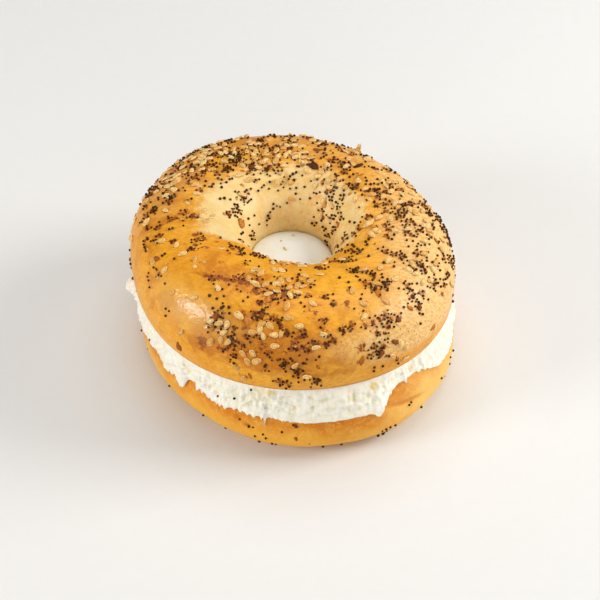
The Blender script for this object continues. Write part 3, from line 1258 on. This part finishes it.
def joined(name, patterns, places, tones):
    """One mesh with a copy of a pattern at each place. Each copy has its own tone, and how far out each
    vertex lies in its pattern is kept as its rim. A copy that would stand out of the solid's box is
    moved back into it."""
    low, high = (Vector(corner) - MIDDLE_SHIFT for corner in cad_box)
    points, faces, all_tones, rims = [], [], [], []
    shapes = []
    for pattern in patterns:
        verts = [v.co.copy() for v in pattern.verts]
        pattern.verts.index_update()
        most = max(v.x for v in verts), max(v.y for v in verts)
        rim = [min(1.0, math.hypot(v.x / most[0], v.y / most[1])) for v in verts]
        shapes.append((verts, [[v.index for v in f.verts] for f in pattern.faces], rim))
    for (matrix, kind), tone in zip(places, tones):
        verts, polygons, rim = shapes[kind]
        start = len(points)
        spots = [matrix @ v for v in verts]
        back = Vector()
        for axis in range(3):
            back[axis] += max(0.0, low[axis] - min(spot[axis] for spot in spots))
            back[axis] -= max(0.0, max(spot[axis] for spot in spots) - high[axis])
        points += [spot + back for spot in spots]
        faces += [[start + i for i in polygon] for polygon in polygons]
        all_tones += [tone] * len(verts)
        rims += rim
    mesh = bpy.data.meshes.new(name)
    mesh.from_pydata(points, [], faces)
    store(mesh, "tone", all_tones)
    store(mesh, "rim", rims)
    return new_object(name, mesh)


def face_tree(body):
    bm = bmesh.new()
    bm.from_mesh(body.data)
    tree = BVHTree.FromBMesh(bm)
    bm.free()
    return tree


def crown_places(tree, rows, kind, kinds, height):
    """Places of one kind of topping on the crown, and their points: as in the solid, and hidden from
    the photo's camera for the rest."""
    places, taken = [], []
    for index, (draw, count, apart, clump, spread, tilt) in enumerate(rows):
        points = seed_points(random.Random(draw), count, kind, apart, clump, spread, taken)
        if index > 0:
            points = [point for point in points if not faces_camera(tree, point)]
        taken += points
        rng = random.Random(draw + PLACE_DRAW)
        places += scattered_places(rng, tree, points, kinds, height, tilt)
    return places, taken


def seen_points(tree, pixels, taken, apart):
    """Points that the photo shows at these pixels, apart from those that are taken already."""
    points = []
    for point, _ in seen_rows(tree, pixels):
        if far_enough(point, taken + points, apart):
            points.append(point)
    return points


def thick_points(rng, tree, kind, taken, apart):
    """Points in the thick bands of topping: kind is 0 for sesame and 1 for poppy."""
    pixels = []
    for across, down, wide, deep, *counts in THICK_PATCHES:
        pixels += [(rng.gauss(across, wide), rng.gauss(down, deep)) for _ in range(counts[kind])]
    return seen_points(tree, pixels, taken, apart)


def seen_clumps(rng, tree, taken):
    """(points, raised points) of the poppy seeds in POPPY_SEEN. A thick clump has some seeds on top."""
    points, raised = [], []
    for middle, (count,) in seen_rows(tree, POPPY_SEEN):
        spread = CLUMP_SPREAD[0] + CLUMP_SPREAD[1] * math.sqrt(count) if count > 1 else 0.0
        clump = []
        for _ in range(count * CLUMP_TRIES):
            off = Vector((rng.gauss(0, spread), rng.gauss(0, spread), rng.gauss(0, spread)))
            spot = tree.find_nearest(middle + off)[0]
            if far_enough(spot, clump, POPPY_APART) and len(clump) < count:
                clump.append(spot)
        points += [spot for spot in clump if far_enough(spot, points[-NEIGHBOURS:] + taken, POPPY_APART)]
        if count >= HEAP_COUNT:
            raised += [middle + (spot - middle) * HEAP_SPREAD for spot in clump[: count // 3]]
    return points, raised


def chip_place(tree, point, spin, tilt, size, kind):
    """(matrix, kind) of a chip that is stretched to a length, a width and a thickness."""
    stretch = Matrix.Diagonal((*size, 1))
    lift = Matrix.Translation((0, 0, size[2] * 0.22))
    return lay_on(tree, point, spin, tilt) @ lift @ stretch, kind


def small_chip(rng, tree, point, lengths, tilt, tones):
    """(place, tone) of a small chip at a point, drawn at random."""
    long = rng.uniform(*lengths)
    size = (long, long * rng.uniform(*CHIP_WIDTHS), long * CHIP_THICKNESS)
    spin, lean = rng.uniform(0, math.pi), rng.gauss(0, tilt)
    return chip_place(tree, point, spin, lean, size, rng.randrange(CHIP_KINDS)), rng.uniform(*tones)


def upright_bit(tree):
    """(place, tone) of the bit that stands up on the rim."""
    across, down, length, width, tone = UPRIGHT_BIT
    size = (length / 1000, width / 1000, UPRIGHT_THICKNESS)
    base = lay_on(tree, seen_point(tree, across, down), UPRIGHT_SPIN, 0)
    stand = Matrix.Translation((0, 0, length / (1000 * UPRIGHT_RISE))) @ Matrix.Rotation(math.pi / 2, 4, "Y")
    return (base @ stand @ Matrix.Diagonal((*size, 1)), 0), tone


def seen_bits(rng, tree):
    """(place, tone) of the flakes and bits in BITS_SEEN, and of small ones in the thicker poppy clumps."""
    bits = []
    for point, (length, width, tone) in seen_rows(tree, BITS_SEEN):
        size = (length / 1000, width / 1000, BIT_THICKNESS[0] + BIT_THICKNESS[1] * width / 1000)
        spin, lean = rng.uniform(0, math.pi), rng.gauss(0, BIT_TILT)
        bits.append((chip_place(tree, point, spin, lean, size, rng.randrange(CHIP_KINDS)), tone))
    marked = [row for row in POPPY_SEEN if row[2] >= MARKED_COUNT]
    wide, deep = CLUMP_CHIP_REACH
    near = ((x + rng.uniform(-wide, wide), y + rng.uniform(-deep, deep)) for x, y, _ in marked)
    for point, _ in seen_rows(tree, near):
        bits.append(small_chip(rng, tree, point, CLUMP_CHIPS, CLUMP_CHIP_TILT, CLUMP_CHIP_TONES))
    return bits + [upright_bit(tree)]


def stain_body(body, tree, stains):
    """Keeps on a body's mesh how strongly each vertex is stained."""
    mesh = body.data
    spots = np.empty(len(mesh.vertices) * 3)
    mesh.vertices.foreach_get("co", spots)
    spots = spots.reshape(-1, 3)
    total = np.zeros(len(spots))
    for middle, (radius, strength) in seen_rows(tree, stains):
        off = np.linalg.norm(spots - np.array(middle), axis=1) / (radius / 1000)
        total = np.maximum(total, strength * np.exp(-(off**2)))
    store(mesh, "stain", total)


def make_flakes(tree):
    outlines = random.Random(FLAKES[0][0])
    flakes = [flake_mesh(flake_outline(outlines)) for _ in range(FLAKE_KINDS)]
    kinds = list(range(FLAKE_KINDS))
    places, _ = crown_places(tree, FLAKES, 0, kinds, FLAKE_LENGTH * FLAKE_THICKNESS)
    rng = random.Random(FLAKE_TONE_DRAW)
    return joined("onion_flakes", flakes, places, [rng.uniform(*FLAKE_TONES) for _ in places])


def make_bits(tree, heel_tree, cheese_tree):
    chips = [chip_mesh(draw) for draw in range(CHIP_KINDS)]
    rng = random.Random(BIT_DRAW)
    bits = seen_bits(rng, tree)
    draw, count, apart, clump, spread, tilt = CRUMBS
    for point in seed_points(random.Random(draw), count, 1, apart, clump, spread, []):
        bits.append(small_chip(rng, tree, point, LOOSE_CHIPS, tilt, LOOSE_CHIP_TONES))
    for body, rows in ((heel_tree, HEEL_BITS), (cheese_tree, CHEESE_BITS)):
        for point, (length, width, tone) in seen_rows(body, rows):
            size = (length / 1000, width / 1000, FLAT_BIT_THICKNESS * width / 1000)
            bits.append((chip_place(body, point, rng.uniform(0, math.pi), 0, size, 1), tone))
    return joined("toasted_crumbs", chips, [place for place, _ in bits], [tone for _, tone in bits])


def make_sesame(tree):
    height = SESAME_SIZE.z
    places, taken = crown_places(tree, SESAME, 0, [0], height)
    points = seen_points(tree, SESAME_SEEN, taken, SESAME_APART)
    rng = random.Random(SESAME_BAND_DRAW)
    points += thick_points(rng, tree, 0, taken + points, SESAME_BAND_APART)
    rng = random.Random(SESAME_DRAW)
    places += scattered_places(rng, tree, points, [0], height, SESAME_TILT, SESAME_SCALES, SESAME_LIFT)
    rng = random.Random(SESAME_TONE_DRAW)
    return joined("sesame_seeds", [sesame_mesh()], places, [rng.random() for _ in places])


def heel_seed_places(tree):
    """Places of the poppy seeds on the heel's side: as in the solid, and more on its hidden side."""
    places = []
    for draw, count, tilt in (HEEL_POPPY, HEEL_POPPY_BEHIND):
        rng = random.Random(draw)
        points = []
        for _ in range(count):
            angle = rng.uniform(0, 2 * math.pi)
            points.append(heel_skin(angle, rng.uniform(*HEEL_TOPPED_SWINGS)))
        if draw == HEEL_POPPY_BEHIND[0]:
            points = [point for point in points if not faces_camera(tree, point)]
        rng = random.Random(draw + PLACE_DRAW)
        places += scattered_places(rng, tree, points, [0], POPPY_SIZE.z, tilt)
    return places


def make_poppy(tree, heel_tree, cheese_tree):
    height = POPPY_SIZE.z
    places, taken = crown_places(tree, POPPY, 1, [0], height)
    points, raised = seen_clumps(random.Random(CLUMP_DRAW), tree, taken)
    points += thick_points(random.Random(POPPY_BAND_DRAW), tree, 1, taken + points, POPPY_APART)
    for draw, spots, lift in ((POPPY_DRAW, points, POPPY_LIFT), (RAISED_DRAW, raised, RAISED_LIFT)):
        rng = random.Random(draw)
        places += scattered_places(rng, tree, spots, [0], height, POPPY_TILT, POPPY_SCALES, lift)
    places += heel_seed_places(heel_tree)
    shown = ((HEEL_SEED_DRAW, heel_tree, HEEL_SEEDS), (CHEESE_SEED_DRAW, cheese_tree, CHEESE_SEEDS))
    for draw, body, pixels in shown:
        points = seen_points(body, pixels, [], POPPY_APART)
        rng = random.Random(draw)
        places += scattered_places(rng, body, points, [0], height, LEVEL_TILT, POPPY_SCALES)
    rng = random.Random(POPPY_TONE_DRAW)
    return joined("poppy_seeds", [poppy_mesh()], places, [rng.random() for _ in places])


# Materials


class Paint:
    """A node material with short calls for its parts."""

    def __init__(self, name):
        self.material = bpy.data.materials.new(name)
        self.material.use_nodes = True
        self.tree = self.material.node_tree
        self.shader = self.tree.nodes["Principled BSDF"]
        self.place = self.add("ShaderNodeTexCoord", {}).outputs["Object"]

    def feed(self, target, value):
        """Sets a socket to a number, a scale or a colour, or links it to another socket."""
        if isinstance(value, bpy.types.NodeSocket):
            self.tree.links.new(value, target)
        elif target.type == "RGBA":
            target.default_value = (*value, 1)
        else:
            target.default_value = value

    def add(self, kind, inputs, **settings):
        """New node with its settings, and with its inputs fed by name or index."""
        node = self.tree.nodes.new(kind)
        for name, value in settings.items():
            setattr(node, name, value)
        for key, value in inputs.items():
            self.feed(node.inputs[key], value)
        return node

    def attribute(self, name):
        return self.add("ShaderNodeAttribute", {}, attribute_name=name).outputs["Fac"]

    def noise(self, size, detail=3.0, roughness=0.55, distortion=0.0, scale=None):
        """Noise whose lumps are about size metres across, drawn out where scale is below 1."""
        place = self.place
        if scale is not None:
            inputs = {0: place, 1: scale}
            place = self.add("ShaderNodeVectorMath", inputs, operation="MULTIPLY").outputs[0]
        inputs = {"Vector": place, "Scale": 1 / size, "Detail": detail}
        inputs |= {"Roughness": roughness, "Distortion": distortion}
        return self.add("ShaderNodeTexNoise", inputs).outputs["Fac"]

    def cells(self, size, feature="F1"):
        inputs = {"Vector": self.place, "Scale": 1 / size}
        return self.add("ShaderNodeTexVoronoi", inputs, feature=feature).outputs["Distance"]

    def spread(self, value, low, high, to_low=0.0, to_high=1.0):
        """Maps low..high onto to_low..to_high, smoothly."""
        inputs = {"Value": value, "From Min": low, "From Max": high, "To Min": to_low, "To Max": to_high}
        node = self.add("ShaderNodeMapRange", inputs, interpolation_type="SMOOTHSTEP")
        return node.outputs["Result"]

    def sum(self, first, second, operation="ADD"):
        return self.add("ShaderNodeMath", {0: first, 1: second}, operation=operation).outputs[0]

    def times(self, first, second):
        return self.sum(first, second, "MULTIPLY")

    def mix(self, factor, first, second):
        """Colour between first and second."""
        inputs = {"Factor": factor, 6: first, 7: second}
        return self.add("ShaderNodeMix", inputs, data_type="RGBA").outputs[2]

    def over(self, below, colour, value, *limits):
        """Colour below, with another laid over it as far as a value is spread between limits."""
        return self.mix(self.spread(value, *limits), below, colour)

    def broken(self, name, noise, *limits):
        """Attribute whose edges are broken up by a noise, spread between limits."""
        return self.sum(self.attribute(name), self.spread(noise, *limits))

    def bump(self, height, distance, strength=1.0, under=None):
        inputs = {"Strength": strength, "Distance": distance, "Height": height}
        if under is not None:
            inputs["Normal"] = under
        return self.add("ShaderNodeBump", inputs).outputs["Normal"]

    def finish(self, colour, roughness, normal, **constants):
        inputs = {"Base Color": colour, "Roughness": roughness, "Normal": normal}
        inputs |= {name.replace("_", " "): value for name, value in constants.items()}
        for name, value in inputs.items():
            self.feed(self.shader.inputs[name], value)
        return self.material


def crust_colour(paint, broad, patchy, ragged):
    """Colour of baked dough: golden, deeper where it is toasted, and pale round the hole."""
    mottle = paint.noise(0.0024, 3, 0.6)
    grain = paint.noise(0.0009, 4, 0.65, 0.5, (0.35, 1.0, 1.0))
    golden = paint.over(GOLDEN, DEEP_GOLDEN, broad, 0.3, 0.7)
    golden = paint.over(golden, LIGHT_GOLDEN, mottle, 0.4, 0.8, 0, 0.5)
    toast = paint.broken("toast", patchy, 0.3, 0.75, -0.35, 0.70)
    toasted = paint.over(golden, TOASTED, toast, 0.25, 1.2)
    straw = paint.broken("straw", broad, 0.3, 0.7, -0.12, 0.12)
    lighter = paint.over(toasted, STRAW, straw, 0.05, 1.0, 0, 0.9)
    grained = paint.over(lighter, GRAIN, grain, 0.44, 0.64, 0, 0.60)
    dough = paint.over(DOUGH, DEEP_DOUGH, patchy, 0.3, 0.7)
    pale = paint.broken("pale", ragged, 0.3, 0.7, -0.30, 0.26)
    return paint.over(grained, dough, pale, 0.15, 0.85)


def crust_stained(paint, baked):
    """Colour with the tint and the smudges that seeds and bits leave, fainter on the pale dough."""
    crumbled = paint.noise(0.0017, 5, 0.72, 0.4)
    clean = paint.spread(paint.attribute("pale"), 0.35, 0.85, 1.0, 0.25)
    tint = paint.times(paint.spread(paint.attribute("stain"), 0.1, 1.0, 0, 0.5), clean)
    stain = paint.broken("stain", crumbled, 0.3, 0.7, -0.50, 0.50)
    smudge = paint.times(paint.spread(stain, 0.38, 0.74, 0, 0.92), clean)
    return paint.mix(smudge, paint.mix(tint, baked, TINTED), SMUDGED)


def crust_marked(paint, stained, patchy):
    """Colour with the browned cut edge, the cracks, pale specks, blisters and the glaze."""
    browned = paint.times(paint.attribute("edge"), paint.spread(patchy, 0.3, 0.6, 0.5, 1.0))
    edged = paint.over(stained, EDGE_BROWN, browned, 0.1, 0.8, 0, 0.7)
    cracked = paint.over(edged, CRACK_BROWN, paint.attribute("crack"), 0.12, 0.9)
    speckled = paint.over(cracked, PALE_SPECK, paint.cells(0.0011), 0.12, 0.3, 0.14, 0)
    dots = paint.spread(paint.cells(0.0026), 0.05, 0.11, 0.75, 0)
    dots = paint.times(dots, paint.spread(patchy, 0.42, 0.58))
    blistered = paint.spread(paint.cells(0.0014), 0.12, 0.22, 0.85, 0)
    blistered = paint.times(blistered, paint.attribute("dotted"))
    dotted = paint.mix(paint.sum(dots, blistered, "MAXIMUM"), speckled, BLISTER)
    return paint.over(dotted, GLAZED, paint.attribute("glazed"), 0.1, 0.9, 0, 0.27)


def crust_material():
    """Baked crust: satin, with fine bubbles in its relief and a shine where it is glazed."""
    paint = Paint("crust_baked")
    broad = paint.noise(0.016, 4, 0.55, 0.6)
    patchy = paint.noise(0.0065, 4, 0.6, 0.4)
    ragged = paint.noise(0.0040, 5, 0.65, 0.8)
    fine = paint.noise(0.0007, 3, 0.6)
    baked = crust_colour(paint, broad, patchy, ragged)
    colour = crust_marked(paint, crust_stained(paint, baked), patchy)
    roughness = paint.spread(paint.sum(patchy, fine), 0.7, 1.3, 0.34, 0.52)
    blisters = paint.bump(paint.cells(0.0013, "SMOOTH_F1"), 0.00013, 0.6)
    wrinkled = paint.bump(ragged, 0.00032, 0.7, blisters)
    normal = paint.bump(fine, 0.00009, 0.8, wrinkled)
    glaze = paint.times(paint.attribute("glazed"), paint.spread(ragged, 0.3, 0.55, 0.45, 1.0))
    paint.feed(paint.shader.inputs["Coat Weight"], paint.spread(glaze, 0.0, 0.8, 0.12, 1.0))
    paint.feed(paint.shader.inputs["Coat Normal"], normal)
    return paint.finish(
        colour,
        roughness,
        normal,
        Subsurface_Weight=0.08,
        Subsurface_Scale=0.002,
        Specular_IOR_Level=0.20,
        Coat_Roughness=0.14,
    )


def heel_material():
    """The heel's crust: more orange, sandy with flour specks, darker just under the cheese."""
    paint = Paint("crust_heel")
    height = paint.attribute("swing")
    broad = paint.noise(0.013, 4, 0.55, 0.5)
    mottle = paint.noise(0.0022, 3, 0.6)
    fine = paint.noise(0.0006, 3, 0.6)
    level = paint.sum(height, paint.spread(broad, 0.3, 0.7, -0.25, 0.25))
    golden = paint.over(HEEL_DARK, HEEL_GOLDEN, level, -0.95, 0.25)
    mottled = paint.over(golden, HEEL_LIGHT, mottle, 0.4, 0.75, 0, 0.5)
    straw = paint.broken("straw", broad, 0.3, 0.7, -0.15, 0.15)
    lighter = paint.over(mottled, HEEL_STRAW_TONE, straw, 0.05, 1.0, 0, 0.8)
    base = paint.over(lighter, HEEL_BASE, height, 0.85, 1.02)
    cracked = paint.over(base, HEEL_CREASE, paint.attribute("crack"), 0.2, 1.0, 0, 0.6)
    stain = paint.broken("stain", mottle, 0.3, 0.7, -0.25, 0.25)
    stained = paint.over(cracked, HEEL_STAIN, stain, 0.25, 0.95, 0, 0.8)
    specks = paint.spread(paint.cells(0.0012), 0.10, 0.24, 0.6, 0)
    colour = paint.mix(specks, stained, FLOUR)
    roughness = paint.spread(paint.sum(mottle, fine), 0.7, 1.3, 0.42, 0.60)
    grains = paint.bump(paint.cells(0.0009), 0.00008, 0.6)
    wrinkled = paint.bump(mottle, 0.0002, 0.7, grains)
    normal = paint.bump(fine, 0.00005, 0.8, wrinkled)
    return paint.finish(
        colour, roughness, normal, Subsurface_Weight=0.08, Subsurface_Scale=0.002, Specular_IOR_Level=0.22
    )


def cheese_material():
    """Cream cheese: white, warmer in its hollows, with tan stains."""
    paint = Paint("cream_cheese_soft")
    broad = paint.noise(0.009, 3, 0.5, 0.3)
    mottle = paint.noise(0.0021, 3, 0.6)
    fine = paint.noise(0.0006, 3, 0.65)
    cream = paint.over(CREAM, WHITE_CREAM, broad, 0.3, 0.7)
    cream = paint.over(cream, WARM_CREAM, mottle, 0.5, 0.85, 0, 0.22)
    upright = paint.noise(0.0014, 3, 0.6, 0.2, (1.0, 1.0, 0.16))
    cream = paint.over(cream, STREAK_CREAM, upright, 0.48, 0.68, 0, 0.6)
    cream = paint.mix(paint.attribute("dome"), cream, DOME_CREAM)
    hollow = paint.spread(paint.attribute("relief"), -0.9, 0.1, 0.7, 0.0)
    shaded = paint.mix(hollow, cream, HOLLOW_CREAM)
    stain = paint.times(paint.attribute("stain"), paint.spread(mottle, 0.3, 0.6, 0.6, 1.1))
    colour = paint.over(shaded, STAINED_CREAM, stain, 0.05, 0.9, 0, 0.8)
    roughness = paint.spread(paint.sum(broad, fine), 0.7, 1.3, 0.34, 0.52)
    crumbly = paint.bump(mottle, 0.00016, 0.6)
    normal = paint.bump(fine, 0.00014, 0.8, crumbly)
    return paint.finish(
        colour, roughness, normal, Subsurface_Weight=0.15, Subsurface_Scale=0.0014, Specular_IOR_Level=0.4
    )


def sesame_material():
    """Sesame: golden tan with a paler rim, some more toasted."""
    paint = Paint("sesame_toasted")
    tone = paint.attribute("tone")
    rim = paint.attribute("rim")
    mottle = paint.noise(0.0007, 3, 0.6)
    body = paint.over(SESAME_PALE, SESAME_BROWN, tone, 0.1, 0.95)
    body = paint.over(body, SESAME_MOTTLE, mottle, 0.4, 0.8, 0, 0.5)
    ring = paint.times(paint.spread(rim, 0.45, 0.66), paint.spread(rim, 0.66, 0.85, 1, 0))
    ringed = paint.mix(paint.times(ring, 0.65), body, SESAME_RING)
    colour = paint.over(ringed, SESAME_RIM, rim, 0.78, 0.97, 0, 0.6)
    roughness = paint.spread(mottle, 0.3, 0.7, 0.36, 0.52)
    normal = paint.bump(mottle, 0.00006, 0.6)
    return paint.finish(
        colour, roughness, normal, Subsurface_Weight=0.1, Subsurface_Scale=0.0015, Specular_IOR_Level=0.3
    )


def poppy_material():
    """Poppy seed: brown-black to slate grey, finely pitted."""
    paint = Paint("poppy_slate")
    tone = paint.attribute("tone")
    pits = paint.cells(0.00024)
    slate = paint.over(POPPY_BLACK, POPPY_DARK, tone, 0.1, 0.5)
    body = paint.over(slate, POPPY_BROWN, tone, 0.55, 0.75)
    body = paint.over(body, POPPY_SLATE, tone, 0.84, 0.92)
    colour = paint.over(body, POPPY_PIT, pits, 0.2, 0.6, 0, 0.5)
    roughness = paint.spread(pits, 0.0, 0.6, 0.54, 0.70)
    normal = paint.bump(pits, 0.00004, 0.8)
    return paint.finish(colour, roughness, normal, Specular_IOR_Level=0.10)


def flake_material():
    """Dried onion and garlic: from pale straw to red-brown and almost black where it burnt."""
    paint = Paint("onion_toasted")
    tone = paint.attribute("tone")
    mottle = paint.noise(0.0010, 3, 0.6)
    toasted = paint.over(ONION_STRAW, ONION_TOASTED, tone, 0.0, 0.5)
    brown = paint.over(toasted, ONION_BROWN, tone, 0.5, 0.75)
    burnt = paint.over(brown, ONION_BURNT, tone, 0.78, 0.98)
    darker = paint.mix(0.55, burnt, ONION_MOTTLE)
    colour = paint.over(burnt, darker, mottle, 0.42, 0.68)
    roughness = paint.spread(mottle, 0.3, 0.7, 0.38, 0.6)
    normal = paint.bump(mottle, 0.00012, 0.8)
    return paint.finish(colour, roughness, normal, Specular_IOR_Level=0.2)


def floor_material():
    paint = Paint("floor_pale")
    grain = paint.noise(0.004, 4, 0.6)
    colour = paint.mix(grain, FLOOR_GREY, FLOOR_PALE)
    roughness = paint.spread(grain, 0.3, 0.7, 0.55, 0.65)
    normal = paint.bump(grain, 0.00005, 0.4)
    return paint.finish(colour, roughness, normal)


# Stage, light and camera


def make_floor():
    corners = [(x * FLOOR_HALF, y * FLOOR_HALF, 0) for x, y in ((-1, -1), (1, -1), (1, 1), (-1, 1))]
    mesh = bpy.data.meshes.new("floor")
    mesh.from_pydata(corners, [], [(0, 1, 2, 3)])
    floor = new_object("floor", mesh)
    floor.location.z = -FLOOR_DROP
    mesh.materials.append(floor_material())


def soft_light(name, azimuth, height, distance, size, power, colour):
    """Square soft light that faces the sandwich, from an azimuth and height in degrees."""
    turn, rise = math.radians(azimuth), math.radians(height)
    level = math.cos(rise)
    spot = Vector((math.cos(turn) * level, math.sin(turn) * level, math.sin(rise))) * distance
    light = bpy.data.lights.new(name, "AREA")
    light.shape = "SQUARE"
    light.size = size
    light.energy = power
    light.color = colour
    obj = new_object(name, light)
    obj.location = VIEW_TARGET + spot
    obj.rotation_euler = (-spot).to_track_quat("-Z", "Y").to_euler()


def make_lights():
    for name, values in LIGHTS.items():
        soft_light(name, *values)
    world = bpy.data.worlds.new("studio")
    world.use_nodes = True
    background = world.node_tree.nodes["Background"]
    background.inputs["Color"].default_value = STUDIO_COLOUR
    background.inputs["Strength"].default_value = STUDIO_STRENGTH
    bpy.context.scene.world = world


def make_camera():
    right, up, ahead = camera_axes()
    camera = bpy.data.cameras.new("camera")
    camera.lens = LENS_MM
    camera.sensor_width = SENSOR_MM
    obj = new_object("camera", camera)
    obj.location = camera_spot() + MIDDLE_SHIFT
    obj.rotation_euler = Matrix((right, up, -ahead)).transposed().to_euler()
    bpy.context.scene.camera = obj


def place(obj, material, slot, *nodes):
    """Moves a finished piece with the whole, gives it its material and names what it stands for."""
    obj.data.transform(Matrix.Translation(MIDDLE_SHIFT))
    spots = np.empty(len(obj.data.vertices) * 3)
    obj.data.vertices.foreach_get("co", spots)
    spots = np.clip(spots.reshape(-1, 3), *cad_box)
    obj.data.vertices.foreach_set("co", spots.ravel())
    obj.data.materials.clear()
    obj.data.materials.append(material)
    obj.data.shade_smooth()
    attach(obj, "root")
    if nodes:
        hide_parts(*nodes)


def smudges():
    """Stains under the larger clumps of poppy seeds and under the sesame seeds."""
    clumps = [row for row in POPPY_SEEN if row[2] >= MARKED_COUNT]
    rows = [(across, down, *CLUMP_SMUDGE) for across, down, _ in clumps]
    return rows + [(across, down, *SESAME_SMUDGE) for across, down in SESAME_SEEN]


def main():
    crown = make_crown()
    heel = make_heel()
    cheese = make_cheese()
    crown_tree, heel_tree, cheese_tree = face_tree(crown), face_tree(heel), face_tree(cheese)
    stain_body(crown, crown_tree, list(STAINS) + smudges())
    stain_body(heel, heel_tree, HEEL_STAINS)
    stain_body(cheese, cheese_tree, CHEESE_STAINS)
    onion = flake_material()
    place(make_flakes(crown_tree), onion, "crust")
    place(make_bits(crown_tree, heel_tree, cheese_tree), onion, "crust")
    place(make_sesame(crown_tree), sesame_material(), "crust")
    place(make_poppy(crown_tree, heel_tree, cheese_tree), poppy_material(), "crust")
    place(crown, crust_material(), "crust", "crown")
    place(heel, heel_material(), "crust", "heel")
    place(cheese, cheese_material(), "cream_cheese", "cream_cheese")
    make_floor()
    make_lights()
    make_camera()
    bpy.context.scene.view_settings.view_transform = "Standard"


main()
